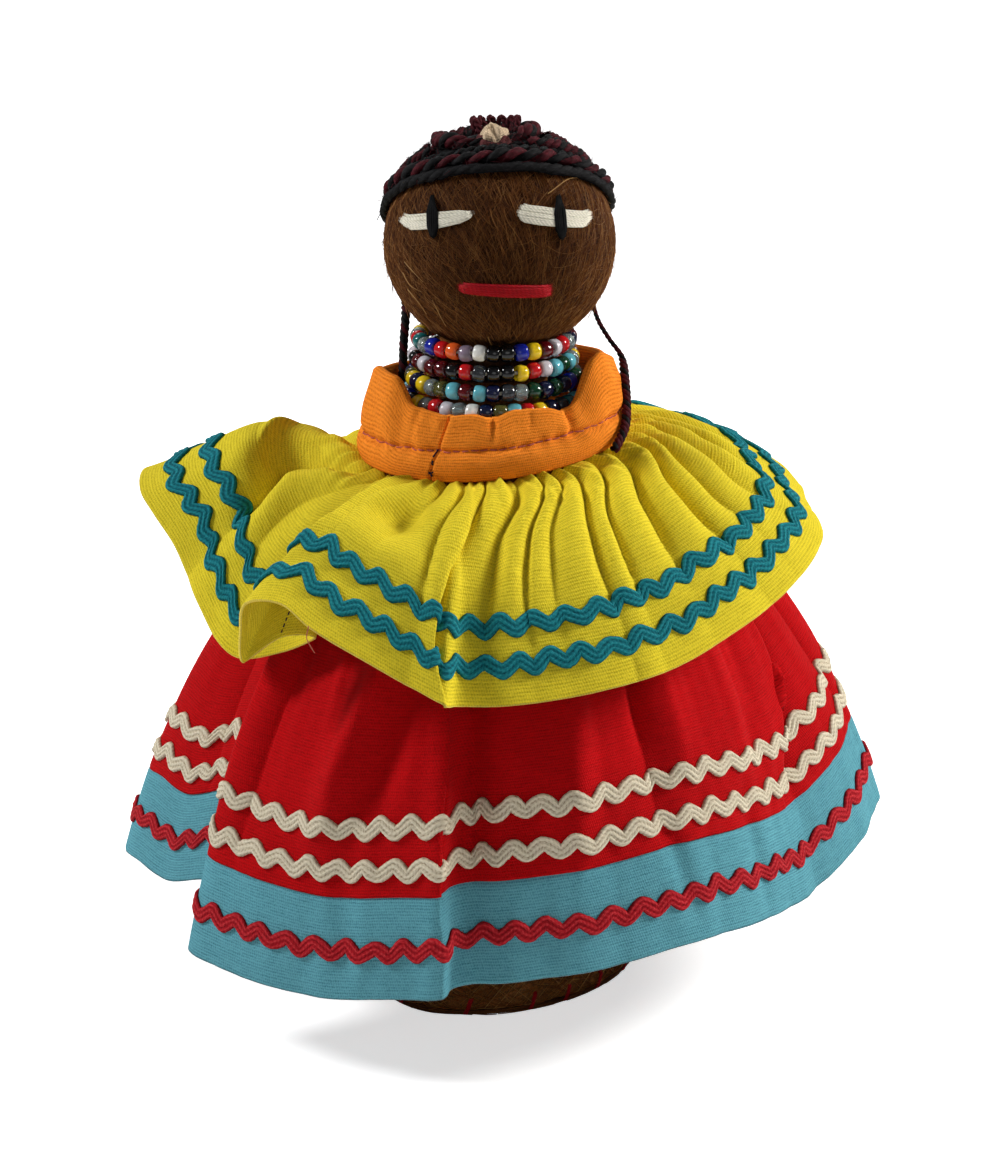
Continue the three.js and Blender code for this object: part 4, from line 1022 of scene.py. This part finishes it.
def clear_of_beads(points):
    """Points under the head, moved out of the room that the upper strand turns in."""
    radius, height = TOP_STRAND
    out = points[..., :2] - [NECK_X, 0]
    far = np.maximum(np.linalg.norm(out, axis=-1, keepdims=True), 1e-6)
    across = np.concatenate([far - radius, points[..., 2:] - height], -1)
    gap = np.maximum(np.linalg.norm(across, axis=-1, keepdims=True), 1e-6)
    across = across * np.maximum(1, BEAD_ROOM / gap)
    ring = [NECK_X, 0] + out / far * (radius + across[..., :1])
    return np.concatenate([ring, height + across[..., 1:]], -1)


FIBRE_STEPS = 6


def head_fibres(count):
    """Short fine fibres combed over the ball, gathered towards the neck below."""
    start = unit(rng.normal(size=(count, 3)) * [1, 1.1, 1])
    start = start[(start[:, 2] > -0.93) & (start[:, 2] < 0.86)]
    count = len(start)
    low = 1 - smooth_step(start[:, 2], -0.85, -0.3)
    kind = rng.random(count)
    turn = combed(start) + rng.normal(0, 0.13, count)
    turn = np.where(kind < 0.22, combed(start) - rng.normal(0.9, 0.18, count), turn)
    turn = np.where(kind > 0.97, rng.uniform(-1.5, 1.5, count), turn) * (1 - 0.6 * low)
    heading = heading_of(start, turn)
    length = rng.uniform(3, 8, count)
    t = np.linspace(-0.5, 0.5, FIBRE_STEPS)
    angle = (length[:, None] * t / HEAD_WIDE)[..., None]
    bend = (rng.normal(0, 0.03, (count, 1)) * t**2)[..., None] * 4
    side = np.cross(start, heading)[:, None]
    direction = start[:, None] * np.cos(angle) + heading[:, None] * np.sin(angle) + side * bend
    ends = 1 - (2 * np.abs(t)) ** 4
    lift = rng.random((count, 1)) * 0.36 * ends + 0.1 * (rng.random((count, 1)) ** 4) * t - 0.02
    points, normals = head_point(direction, lift)
    keep = points[:, :, 2].min(1) > HEAD_MIDDLE[2] - HEAD_TALL - 0.6
    points, normals = points[keep], normals[keep]
    count = len(points)
    radii = rng.uniform(0.03, 0.06, (count, 1)) * np.maximum(ends, 0.2)
    looks = rng.choice([1, 2, 3], count, p=[0.34, 0.42, 0.24])
    return sweep_part(clear_of_beads(points), normals, radii, 3, materials=looks)


def stray_fibres(count, lowest, highest, length, rise):
    """Fibre ends that stand off the ball."""
    start = unit(rng.normal(size=(6 * count, 3)))
    start = start[(start[:, 2] < highest) & (start[:, 2] > lowest)][:count]
    count = len(start)
    heading = heading_of(start, combed(start) + rng.normal(0, 0.5, count))
    reach = rng.uniform(0.5, 1, count) * length
    t = np.linspace(0, 1, FIBRE_STEPS)
    angle = (reach[:, None] * t / HEAD_WIDE)[..., None]
    direction = start[:, None] * np.cos(angle) + heading[:, None] * np.sin(angle)
    lift = 0.1 + rng.uniform(0.3, 1, (count, 1)) * rise * t**1.6
    points, normals = head_point(direction, lift)
    radii = np.linspace(0.07, 0.025, FIBRE_STEPS) * rng.uniform(0.8, 1.2, (count, 1))
    looks = rng.choice([1, 2, 3], count, p=[0.4, 0.4, 0.2])
    return sweep_part(clear_of_beads(points), normals, radii, 3, materials=looks)


head_piece = build(
    "head_fibre",
    [
        head_ball(),
        head_fibres(HEAD_FIBRES),
        # Count, lowest and highest place, length and rise
        stray_fibres(900, -0.9, 0.5, 3.2, 0.9),
        stray_fibres(120, -0.8, 0.3, 6.5, 1.6),
        stray_fibres(260, -0.97, -0.84, 4.2, 1.1),
    ],
    [fibre_ground, fibre_dark, fibre_mid, fibre_light],
    ["head_cover"],
)


# Face


def on_face(x, z, lift):
    """Points in front of the head, lifted off its fibre."""
    dx, dz = x - HEAD_MIDDLE[0], z - HEAD_MIDDLE[2]
    wide, tall = HEAD_WIDE + lift, HEAD_TALL + lift
    y = -wide * np.sqrt(1 - (dx / wide) ** 2 - (dz / tall) ** 2)
    return np.stack([x, y, z], -1)


def satin(start, end, half, ends, threads, radius, lift):
    """Stitches side by side. half is the half width along the way, ends how round both ends are."""
    start, end = np.array(start, float), np.array(end, float)
    run = np.linspace(0, 1, 26)
    aside = np.array([-(end - start)[1], (end - start)[0]])
    aside = unit(aside)
    paths = []
    for k in range(threads):
        place = -1 + 2 * (k + 0.5) / threads + rng.uniform(-0.08, 0.08)
        short = 1 - math.sqrt(max(0, 1 - place**2))
        first = ends[0] * short + rng.uniform(0, 0.02)
        last = 1 - ends[1] * short - rng.uniform(0, 0.02)
        t = first + (last - first) * run
        width = np.interp(t, *half)
        spot = start + (end - start) * t[:, None] + aside * (place * width)[:, None]
        rise = lift + 0.3 * math.sqrt(max(0, 1 - place**2))
        bulge = np.clip(np.sin(np.pi * np.clip(run, 0.02, 0.98)) * 4, 0, 1)
        paths.append(on_face(spot[:, 0], spot[:, 1], -0.5 + (rise + 0.5) * bulge))
    paths = np.array(paths)
    return sweep_part(paths, unit(paths - HEAD_MIDDLE), radius, 8)


def loose_fibre(points, lift):
    """A pale fibre that has come loose from the cheek."""
    steps = 24
    x, z = curve_through([(a, 0, b) for a, b in points], steps)[:, [0, 2]].T
    line = on_face(x, z, 0.25 + lift * np.sin(np.linspace(0, np.pi, steps)))
    return sweep_part(one(line), one(unit(line - HEAD_MIDDLE)), np.linspace(0.09, 0.05, steps), 5)


LOOSE_FIBRES = [
    ([(-12.4, 124.4), (-11.4, 122.6), (-10.2, 119.6)], 0.8),
    ([(-16.9, 130.2), (-15.2, 128.8), (-13.8, 127.4)], 0.5),
    ([(-17.2, 128.2), (-16.0, 126.6), (-14.2, 125.6)], 0.6),
    ([(-16.4, 125.4), (-14.6, 123.6), (-13.4, 121.4)], 0.5),
    ([(-3.4, 118.2), (-2.8, 116.6), (-1.6, 115.2)], 0.6),
    ([(6.2, 141.6), (9.4, 143.2), (12.2, 142.8)], 0.4),
]
loose_parts = [loose_fibre(points, lift) for points, lift in LOOSE_FIBRES]
build("loose_fibres", loose_parts, [gold_pale_painted_light])

# Half widths of the stitched rows: places along the way and the half width there
EYE_LEFT_HALF = ([0, 0.5, 0.8, 1], [0.95, 1.1, 0.85, 0.15])
EYE_RIGHT_HALF = ([0, 0.3, 1], [1.25, 1.4, 1.15])
MOUTH_HALF = ([0, 0.1, 0.5, 1], [0.55, 0.85, 1.05, 1.0])
PUPIL_LEFT_HALF = ([0, 0.3, 0.65, 1], [0.1, 0.85, 0.85, 0.1])
PUPIL_RIGHT_HALF = ([0, 0.3, 0.65, 1], [0.1, 0.9, 0.9, 0.1])
# Ends of each row of stitches, half its width along the way, how round the ends are, threads, radius, lift
FACE = {
    "eye_left": ((-17.8, 136.2), (-5.5, 139.0), EYE_LEFT_HALF, (0.12, 0), 7, 0.26, 0.4),
    "eye_right": ((1.2, 139.3), (13.5, 137.0), EYE_RIGHT_HALF, (0.11, 0.12), 8, 0.28, 0.4),
    "pupil_left": ((-12.1, 134.8), (-12.3, 140.9), PUPIL_LEFT_HALF, (0, 0), 6, 0.25, 0.75),
    "pupil_right": ((8.5, 134.6), (7.9, 141.2), PUPIL_RIGHT_HALF, (0, 0), 6, 0.26, 0.75),
    "mouth": ((-8.6, 127.3), (7.3, 126.5), MOUTH_HALF, (0.05, 0.04), 6, 0.27, 0.35),
}
FACE_LOOKS = {
    "eye": (white_thread, "thread_white"),
    "pupil": (black_thread, "thread_black"),
    "mouth": (red_thread, "thread_red"),
}
for name, row in FACE.items():
    look, slot = FACE_LOOKS[name.split("_")[0]]
    build(name + "_stitches", [satin(*row)], [look], [name.replace("eye", "eye_white")])


# Hair: braided cords laid row over row, with a coil, small loops and cotton in the topknot

HAIR_EDGE, HAIR_PITCH, HAIR_SEAT = 70, 6.65, 0.45
BUN_REACH, BUN_CORD, BUN_FRONT, BUN_GAP = 0.418, 2.6, 282, 34
PICOT_REACH, PICOT_CORD, PICOT_GAP, PICOT_LOOPS, PICOT_RISE = 0.19, 1.1, 58, 9, 2.2
PATCH_REACH, PATCH_RADIUS, PATCH_RISE = 0.365, 2.4, 3.2


def crown_frame(tilt, roll):
    """Directions of a ring on the crown, leant back and to the doll's right: middle, side and back."""
    tilt, roll = math.radians(tilt), math.radians(roll)
    lean = math.cos(tilt)
    axis = np.array([-lean * math.sin(roll), math.sin(tilt), lean * math.cos(roll)])
    side = unit(np.cross([0, 1, 0], axis))
    return axis, side, np.cross(axis, side)


def on_crown(ring, from_middle, around, lift):
    """Points over the fibre by their angle from a ring's middle and round it, with the outward normal."""
    axis, side, back = ring
    from_middle, around, lift = np.broadcast_arrays(from_middle, around, lift)
    out = np.cos(around)[..., None] * side + np.sin(around)[..., None] * back
    direction = np.cos(from_middle)[..., None] * axis + np.sin(from_middle)[..., None] * out
    return head_point(direction, lift)


hair = crown_frame(30, 3)
bun = crown_frame(6, 7.5)
loops = crown_frame(6, 2)


def row_span(from_middle):
    """First and last angle of a row, which stops on both sides of the topknot."""
    apart = math.acos(hair[0] @ bun[0])
    clear = BUN_REACH + (BUN_CORD / 2 + 1.3) / HEAD_WIDE
    meeting = math.cos(clear) - math.cos(from_middle) * math.cos(apart)
    meeting /= math.sin(from_middle) * math.sin(apart)
    gap = math.acos(max(-1, meeting)) if meeting < 1 else 0
    front = math.atan2(bun[0] @ hair[2], bun[0] @ hair[1])
    return front + gap, front + 2 * math.pi - gap


def hair_row(row, radius, count, pitch, looks, ply):
    from_middle = math.radians(HAIR_EDGE - row * HAIR_PITCH)
    first, last = row_span(from_middle)
    closed = last - first > 6.283
    steps = max(24, round(340 * (last - first) / 6.283))
    around = np.linspace(first, last, steps, endpoint=not closed)
    stray = 0.012 * np.sin(3 * around + row) + 0.006 * np.sin(11 * around + 2 * row)
    line, up = on_crown(hair, from_middle + stray, around, HAIR_SEAT + radius - 0.1)
    uneven = 1 + 0.1 * np.sin(5 * around + 1.7 * row) + 0.07 * np.sin(17 * around + row)
    return plies(line, up, radius * uneven[:, None], count, pitch, ply, closed, 9, looks)


# Radius of each row, how many plies, their pitch, their looks, and the radius of a ply where it is set
HAIR_LOOKS = [
    (0.86, 3, 7.0, [0, 0, 0], 0.62), (1.2, 2, 5.5, [1, 0], None), (0.8, 2, 3.4, [2, 0], None),
    (1.05, 3, 4.2, [1, 1, 0], None), (0.95, 2, 3.4, [0, 2], None), (1.05, 3, 4.2, [1, 1, 1], None),
    (1.0, 2, 3.6, [1, 0], None), (1.05, 3, 4.2, [1, 0, 1], None), (0.95, 2, 3.4, [0, 0], None),
    (1.05, 3, 4.2, [1, 1, 0], None),
]
for row, (radius, count, pitch, looks, ply) in enumerate(HAIR_LOOKS):
    node = f"hair_row_{row}" if row else "hair_edge_cord"
    build(
        node + "_braid",
        hair_row(row, radius, count, pitch, looks, ply),
        [black_cord, maroon_cord, grey_sheen_cord],
        [node],
    )


def hair_ground():
    """Black yarn that shows between the cords."""
    from_middle = np.radians(np.linspace(1, HAIR_EDGE - 1, 60))
    a, b = np.meshgrid(circle_of(160), from_middle, indexing="ij")
    lumps = 0.12 * np.sin(40 * b) + 0.06 * np.sin(31 * a) * np.sin(17 * b)
    points, _ = on_crown(hair, b, a, 0.45 + lumps)
    return grid_part(points[:, ::-1], (True, False), np.linspace(0, 90, 161), np.linspace(0, 22, 60))


build("hair_ground", [hair_ground()], [black_cord])

# The coil is thick at the sides and the back and thins out under the cotton in front
around = np.radians(np.linspace(BUN_FRONT, BUN_FRONT + 360, 300, endpoint=False))
from_front = np.abs((np.degrees(around) - BUN_FRONT + 180) % 360 - 180)
thick = 0.55 + 0.45 * smooth_step(from_front, BUN_GAP - 8, BUN_GAP + 14)
thick = thick * (1 + 0.07 * np.sin(7 * around) + 0.04 * np.sin(13 * around + 1))
line, up = on_crown(bun, BUN_REACH, around, HAIR_SEAT + BUN_CORD / 2 * thick)
build(
    "bun_braid",
    plies(line, up, BUN_CORD / 2 * thick[:, None], 3, 5.2, None, True, 10, [0, 0, 1]),
    [maroon_cord, black_cord],
    ["bun_coil"],
)


def picot_line():
    first, last = math.radians(BUN_FRONT + PICOT_GAP), math.radians(BUN_FRONT + 360 - PICOT_GAP)
    share = np.linspace(0, 1, 40 * PICOT_LOOPS)
    wave = np.sin(np.pi * ((PICOT_LOOPS * share) % 1)) ** 0.8
    sway = 0.16 * np.sin(2 * np.pi * PICOT_LOOPS * share)
    around = first + (last - first) * (share + sway / (2 * np.pi * PICOT_LOOPS))
    lift = HAIR_SEAT + PICOT_CORD / 2 + PICOT_RISE * wave
    return on_crown(loops, PICOT_REACH, around, lift)


line, up = picot_line()
outward = unit(line - HEAD_MIDDLE - 17 * loops[0])
build(
    "bun_picots_thread",
    plies(line, outward, PICOT_CORD / 2, 2, 1.8, 0.34, False, 7, [0, 0]),
    [maroon_cord],
    ["bun_picots"],
)


def cord_fuzz(count):
    """Short fibre ends that stand off the hair cords."""
    t = np.linspace(0, 1, FIBRE_STEPS)
    around = rng.uniform(0, 2 * np.pi, (count, 1))
    from_middle = np.arccos(1 - rng.uniform(0.01, 1 - math.cos(math.radians(HAIR_EDGE + 1)), (count, 1)))
    turn = rng.uniform(0, 2 * np.pi, (count, 1))
    reach = rng.uniform(0.8, 2.4, (count, 1)) / HEAD_WIDE * t
    lift = HAIR_SEAT + 1.2 + rng.uniform(0.2, 1.1, (count, 1)) * t
    b = from_middle + reach * np.cos(turn)
    a = around + reach * np.sin(turn) / np.sin(from_middle)
    points, ups = on_crown(hair, b, a, lift)
    radii = np.linspace(0.065, 0.03, FIBRE_STEPS) * rng.uniform(0.8, 1.2, (count, 1))
    return sweep_part(points, ups, radii, 3, materials=rng.choice([0, 1], count, p=[0.7, 0.3]))


build("hair_fuzz", [cord_fuzz(CORD_FUZZ)], [black_cord, maroon_cord])


def crown_puff(wide, tall, material):
    """Cotton pushed up between the ends of the coil, creased towards its foot."""
    foot, normal = on_crown(bun, PATCH_REACH, math.radians(BUN_FRONT), HAIR_SEAT - 0.2)
    side = unit(np.cross([0, 1, 0], normal))
    back = np.cross(normal, side)
    a, b = np.meshgrid(circle_of(72), np.linspace(0, np.pi / 2, 24), indexing="ij")
    crumple = 1 + 0.1 * np.sin(3 * a + 3 * b) + 0.07 * np.sin(5 * a + 1 - 2 * b) + 0.03 * np.sin(11 * a)
    out = np.cos(a)[..., None] * side + np.sin(a)[..., None] * back
    rise = tall * PATCH_RISE * (0.3 * np.clip(b / 0.5, 0, 1) + 0.7 * np.sin(b)) * crumple
    reach = wide * PATCH_RADIUS * np.cos(b) ** 0.8 * crumple
    puff = foot + normal * rise[..., None] + out * reach[..., None]
    return grid_part(puff, (True, False), np.linspace(0, 15, 73), np.linspace(0, 5, 24), material)


# The wider, flatter mauve sheet at the puff's foot paints the shade under the cream cotton.
build(
    "crown_puff",
    [crown_puff(0.95, 0.9, 0), crown_puff(1.25, 0.5, 1)],
    [cream_cotton, puff_shade_cotton],
    ["crown_patch"],
)


# Loose cords

TAIL_RIGHT = [
    (13.4, 13.4, 128.6), (14.5, 13.6, 125.6), (14.7, 12.6, 122.6), (14.4, 10.4, 119.2),
    (15.1, 7.2, 116.6), (16.9, 4, 114), (18.9, 1.2, 111.6), (19.4, -2, 108.8), (19.6, -5.8, 105),
    (19.2, -9.2, 101.9), (17.4, -13.1, 99.2),
]
TAIL_LEFT = [
    (-16.4, 13.4, 128.6), (-17.5, 13.6, 125.6), (-17.7, 12.6, 122.6), (-17.5, 10, 119.2),
    (-17.5, 7.4, 116.3), (-17.8, 6.8, 112.4), (-17.9, 6.6, 109.6), (-18, 6.5, 107.4),
    (-18.4, 6.6, 104.9), (-18.6, 6.8, 103),
]
TAIL_PITCH = 3.1


def tail_cord(name, route, steps, radius, ply_radius, looks):
    """A loose cord of three plies along a route. Gives its piece and its line."""
    line = curve_through(route, steps)
    ups = unit(line - [NECK_X, 0, 110])
    parts = plies(line, ups, radius, 3, TAIL_PITCH, ply_radius, False, 8, [0, 1, 0])
    return build(name + "_braid", parts, looks, [name]), line


# The right cord is thin above and thicker in its lower half
thick = smooth_step(np.linspace(0, 1, 200), 0.5, 0.62)[:, None]
tail_right, line = tail_cord(
    "tail_cord_right",
    TAIL_RIGHT,
    200,
    0.44 + 0.4 * thick,
    0.24 + 0.2 * thick,
    [maroon_cord, black_cord],
)
tail_cord("tail_cord_left", TAIL_LEFT, 160, 0.82, 0.42, [black_cord, maroon_cord])


# Beads

BEAD_COLOURS = {
    "white": ((236, 236, 230), 0.0),
    "pearl": ((206, 200, 206), 0.0),
    "black": ((14, 14, 16), 0.0),
    "blue": ((22, 36, 150), 0.0),
    "navy": ((20, 26, 60), 0.2),
    "red": ((190, 22, 28), 0.0),
    "dark_red": ((96, 12, 20), 0.3),
    "orange": ((226, 92, 36), 0.0),
    "yellow": ((232, 196, 30), 0.0),
    "turquoise": ((96, 176, 190), 0.0),
    "teal": ((30, 110, 110), 0.2),
    "dark_green": ((14, 70, 44), 0.3),
    "clear": ((190, 205, 205), 0.75),
    "olive": ((120, 118, 60), 0.6),
    "smoke": ((70, 74, 80), 0.5),
    "purple_grey": ((128, 112, 128), 0.0),
}
BEAD_NAMES = list(BEAD_COLOURS)
bead_looks = []
for name, (rgb, clear) in BEAD_COLOURS.items():
    bead_looks.append(glass("glass " + name.replace("_", " "), linear(*rgb), clear))
# Radius and height of each strand, and its beads in front from the left of the photograph to the right
STRANDS = [
    (
        *TOP_STRAND,
        "teal clear blue red orange purple_grey white black"
        " black blue yellow dark_red pearl red clear",
    ),
    (
        13.0,
        112.0,
        "pearl dark_red dark_red black red smoke black"
        " black yellow red pearl turquoise dark_green",
    ),
    (
        13.6,
        108.8,
        "yellow clear olive turquoise dark_red turquoise navy"
        " smoke clear dark_green navy dark_green navy",
    ),
    (
        14.4,
        105.7,
        "black yellow clear red pearl clear white navy"
        " olive turquoise red yellow navy smoke teal turquoise",
    ),
]
BEAD_PITCH = 2.25


def bead_shape():
    """Outline of a bead, walked round its wall: distance along the thread and out from it."""
    t = circle_of(14)
    along = 1.08 * np.sign(np.cos(t)) * np.abs(np.cos(t)) ** 0.85
    out = 0.94 + 0.5 * np.sign(np.sin(t)) * np.abs(np.sin(t)) ** 0.85
    return along, out


def strand(radius, height, names):
    count = round(2 * np.pi * radius / BEAD_PITCH)
    along, out = bead_shape()
    spin = circle_of(18)[:, None]
    names = names.split()
    first = 270 - 360 / count * (len(names) - 1) / 2
    parts = []
    for k in range(count):
        angle = math.radians(first) + 2 * np.pi * k / count
        look = BEAD_NAMES.index(names[k]) if k < len(names) else rng.integers(len(BEAD_NAMES))
        ahead = np.array([-math.sin(angle), math.cos(angle), rng.uniform(-0.08, 0.08)])
        ahead = unit(ahead + 0.09 * rng.normal(size=3))
        radial = unit(np.cross(ahead, [0, 0, 1]))
        up = np.cross(radial, ahead)
        size = rng.uniform(0.94, 1.04)
        z = height + rng.uniform(-0.12, 0.12)
        middle = np.array([NECK_X + radius * math.cos(angle), radius * math.sin(angle), z])
        across = np.cos(spin) * radial + np.sin(spin) * up
        ring = middle + ahead * (along * size)[:, None, None] + across * (out * size)[:, None, None]
        parts.append(grid_part(ring[::-1], (True, True), material=look))
    around = circle_of(120)
    x, y = NECK_X + radius * np.cos(around), radius * np.sin(around)
    line = one(np.stack([x, y, np.full(120, height)], 1))
    parts.append(sweep_part(line, upright(line), 0.3, 6, True, len(bead_looks)))
    return parts


for number, (radius, height, names) in enumerate(STRANDS, 1):
    build(
        f"necklace_{number}_beads",
        strand(radius, height, names),
        [*bead_looks, white_thread],
        [f"necklace_{number}"],
        body=f"strand_{number}",
    )


# Collar

# Height of the upper edge over the lower one, at degrees round the neck
COLLAR_EDGE = [
    (0, 11.4), (45, 12), (90, 12.6), (135, 12), (175, 13.4), (189, 15), (216, 15), (225, 10.8),
    (247, 9.6), (261, 9.9), (270, 8.9), (279, 10), (297, 9.2), (306, 7.6), (315, 9), (324, 14.4),
    (331, 15.2), (342, 14), (360, 11.4),
]
COLLAR_RADIUS = 21  # mean radius
STITCH_LINE = 4.9  # height of the running stitches over the foot
# Degree, lean over the height, and depth
COLLAR_CREASES = [(244, 7, 0.7), (270, 0, 1.0), (306, 2, 1.1), (286, 3, 0.4), (231, 3, 0.5)]


def collar_tall(degree):
    """Height of the collar, with the corners of its outline rounded."""
    rows, talls = np.array(COLLAR_EDGE, float).T
    spread = np.linspace(-4, 4, 9)
    weight = bell(spread / 2.6)
    spots = np.interp((np.asarray(degree)[..., None] + spread) % 360, rows, talls)
    return (spots * weight).sum(-1) / weight.sum()


def collar_face(angle, up, out=0.0):
    """A point of the collar's outer face at a height over its foot, and the height of the edge there."""
    degree = np.degrees(angle) % 360
    tall = collar_tall(degree)
    share = up / tall
    turned = -2.2 * smooth_step(share, 0.3, 1.0)
    bulge = 0.75 * np.sin(np.pi * np.clip(up / STITCH_LINE, 0, 1)) ** 0.8
    dent = -0.5 * bell((up - STITCH_LINE) / 0.5)
    swell = 0.55 * np.sin(np.pi * np.clip((up - STITCH_LINE) / (tall - STITCH_LINE), 0, 1)) ** 0.8
    flare = bulge + dent + swell + turned
    for place, lean, depth in COLLAR_CREASES:
        across = (degree - place - lean * (share - 0.5)) / 2.2
        flare = flare - depth * bell(across) * smooth_step(share, 0.42, 1.0)
        flare = flare + 0.35 * depth * bell(across / 2.4) * smooth_step(share, 0.42, 0.9)
    pucker = 0.14 * np.sin(38 * angle + 1.5 * np.sin(5 * angle)) * bell((up - STITCH_LINE) / 1.6)
    drag = 0.16 * np.sin(15 * angle + 5 * share + 2 * np.sin(3 * angle)) * smooth_step(share, 0.1, 0.5)
    seam = -0.55 * bell((degree - 245.5 - 6 * (share - 0.5)) / 0.6)
    flare = flare + pucker + drag + seam + out
    x = (COLLAR_LONG + flare) * np.cos(angle)
    y = (COLLAR_SHORT + flare) * np.sin(angle)
    foot = COLLAR_FOOT - COLLAR_SAG * front_share(angle)
    return np.stack([NECK_X + x, y, foot + up + COLLAR_LEAN * x], -1), tall


def collar_parts():
    count = 840
    around = circle_of(count)
    levels = np.linspace(0, 1, 44)
    angle, share = np.meshgrid(around, levels, indexing="ij")
    _, tall = collar_face(around, np.zeros(count))
    outer, _ = collar_face(angle, share * tall[:, None])
    inner, _ = collar_face(angle, share * tall[:, None], -1.6)
    rings = [outer[:, :1] * 0.5 + inner[:, :1] * 0.5 - [0, 0, 0.3], outer]
    for turn in np.radians([30, 60, 90, 120, 150]):
        mixed = (1 + math.cos(turn)) / 2
        rings.append(outer[:, -1:] * mixed + inner[:, -1:] * (1 - mixed) + [0, 0, 0.7 * math.sin(turn)])
    rings.append(inner[:, ::-1])
    ring = np.concatenate(rings, 1)
    us = np.linspace(0, 2 * np.pi * COLLAR_RADIUS, count + 1)
    inside = 14.4 + (1 - levels[::-1]) * 12
    vs = np.concatenate([[0], levels * 12, 12 + 0.4 * np.arange(1, 6), inside, [27]])
    return [grid_part(ring, (True, True), us, vs)]


build("collar_band", collar_parts(), [orange_cotton], ["collar"])

STITCH_HALF = 0.62
t = np.linspace(-1, 1, 9)
stitches = []
for middle in circle_of(COLLAR_STITCHES):
    rise = 0.34 * (1 - np.abs(t) ** 4) - 0.14
    up = STITCH_LINE + rng.uniform(-0.12, 0.12) + 0.1 * t * rng.uniform(-1, 1)
    half = STITCH_HALF / COLLAR_RADIUS * rng.uniform(0.8, 1.15)
    stitches.append(collar_face(middle + half * t, up, rise)[0])
stitches = np.array(stitches)
outward = unit((stitches - [NECK_X, 0, 0]) * [1, 1, 0])
build("collar_stitches", [sweep_part(stitches, outward, 0.13, 6)], [seam_thread])

# Knots over the seam: degree, height, turn and half length
KNOTS = [(244.6, 4.6, 1.3, 0.5), (243.8, 1.6, 0.5, 0.5), (243.6, 1.4, 2.3, 0.45), (244.2, 3.2, 1.5, 0.3)]
knots = []
for degree, up, turn, half in KNOTS:
    a = math.radians(degree) + t * half * math.cos(turn) / COLLAR_RADIUS
    knots.append(collar_face(a, up + t * half * math.sin(turn), 0.4 - 0.25 * np.abs(t) ** 3)[0])
knots = np.array(knots)
knot_part = sweep_part(knots, unit(knots * [1, 1, 0]), 0.14, 6)
build("collar_knots", [knot_part], [navy_thread])


# Stitches on the folded cape and a loose thread

SEAM_DEGREE = 222.6
station = cape.station_of(SEAM_DEGREE)
t = np.linspace(-1, 1, 7)
spots = []
for height in np.linspace(1.2, 9.5, 9):
    points, normals = cape.sample(np.full(7, station), height + 0.28 * t)
    spots.append(points - normals * (CLOTH + 0.12 - 0.1 * t**2)[:, None])
spots = np.array(spots)
seam_part = sweep_part(spots, upright(spots), 0.11, 6)
build("cape_seam_stitches", [seam_part], [navy_thread])

LOOSE_THREAD = [(-31.3, -44.4, 79.2), (-31.6, -45.2, 77.6), (-31.0, -45.4, 76.2), (-30.4, -45.0, 75.0)]
loose = one(curve_through(LOOSE_THREAD, 24))
loose_part = sweep_part(loose, np.broadcast_to([0, -1.0, 0.2], loose.shape), 0.08, 5)
build("loose_thread", [loose_part], [seam_thread])


# Floor and surroundings


def make_stage():
    mesh = bpy.data.meshes.new("floor")
    size = 8
    corners = [(-size, -size, 0), (size, -size, 0), (size, size, 0), (-size, size, 0)]
    mesh.from_pydata(corners, [], [(0, 1, 2, 3)])
    floor = bpy.data.objects.new("floor", mesh)
    bpy.context.scene.collection.objects.link(floor)
    material = bpy.data.materials.new("pale floor")
    material.use_nodes = True
    nodes, links = material.node_tree.nodes, material.node_tree.links
    shader = nodes["Principled BSDF"]
    shader.inputs["Base Color"].default_value = (0.86, 0.86, 0.86, 1)
    shader.inputs["Roughness"].default_value = 1
    shader.inputs["Emission Color"].default_value = (1, 1, 1, 1)
    # White away from the doll, so that only its shadow shows
    place = nodes.new("ShaderNodeTexCoord")
    away = nodes.new("ShaderNodeVectorMath")
    away.operation = "LENGTH"
    links.new(place.outputs["Object"], away.inputs[0])
    level = nodes.new("ShaderNodeMapRange")
    level.inputs["From Min"].default_value = 0.06
    level.inputs["From Max"].default_value = 0.3
    level.inputs["To Min"].default_value = 0.62
    level.inputs["To Max"].default_value = 1
    links.new(away.outputs["Value"], level.inputs["Value"])
    path = nodes.new("ShaderNodeLightPath")
    glow = nodes.new("ShaderNodeMath")
    glow.operation = "MULTIPLY"
    links.new(level.outputs[0], glow.inputs[0])
    links.new(path.outputs["Is Camera Ray"], glow.inputs[1])
    links.new(glow.outputs[0], shader.inputs["Emission Strength"])
    mesh.materials.append(material)

    world = bpy.data.worlds.new("studio")
    world.use_nodes = True
    nodes, links = world.node_tree.nodes, world.node_tree.links
    background = nodes["Background"]
    background.inputs["Color"].default_value = (1, 1, 1, 1)
    path = nodes.new("ShaderNodeLightPath")
    level = nodes.new("ShaderNodeMapRange")
    level.inputs["To Min"].default_value = 0.11
    level.inputs["To Max"].default_value = 1
    links.new(path.outputs["Is Camera Ray"], level.inputs["Value"])
    links.new(level.outputs[0], background.inputs["Strength"])
    bpy.context.scene.world = world
    bpy.context.scene.view_settings.view_transform = "Standard"


make_stage()
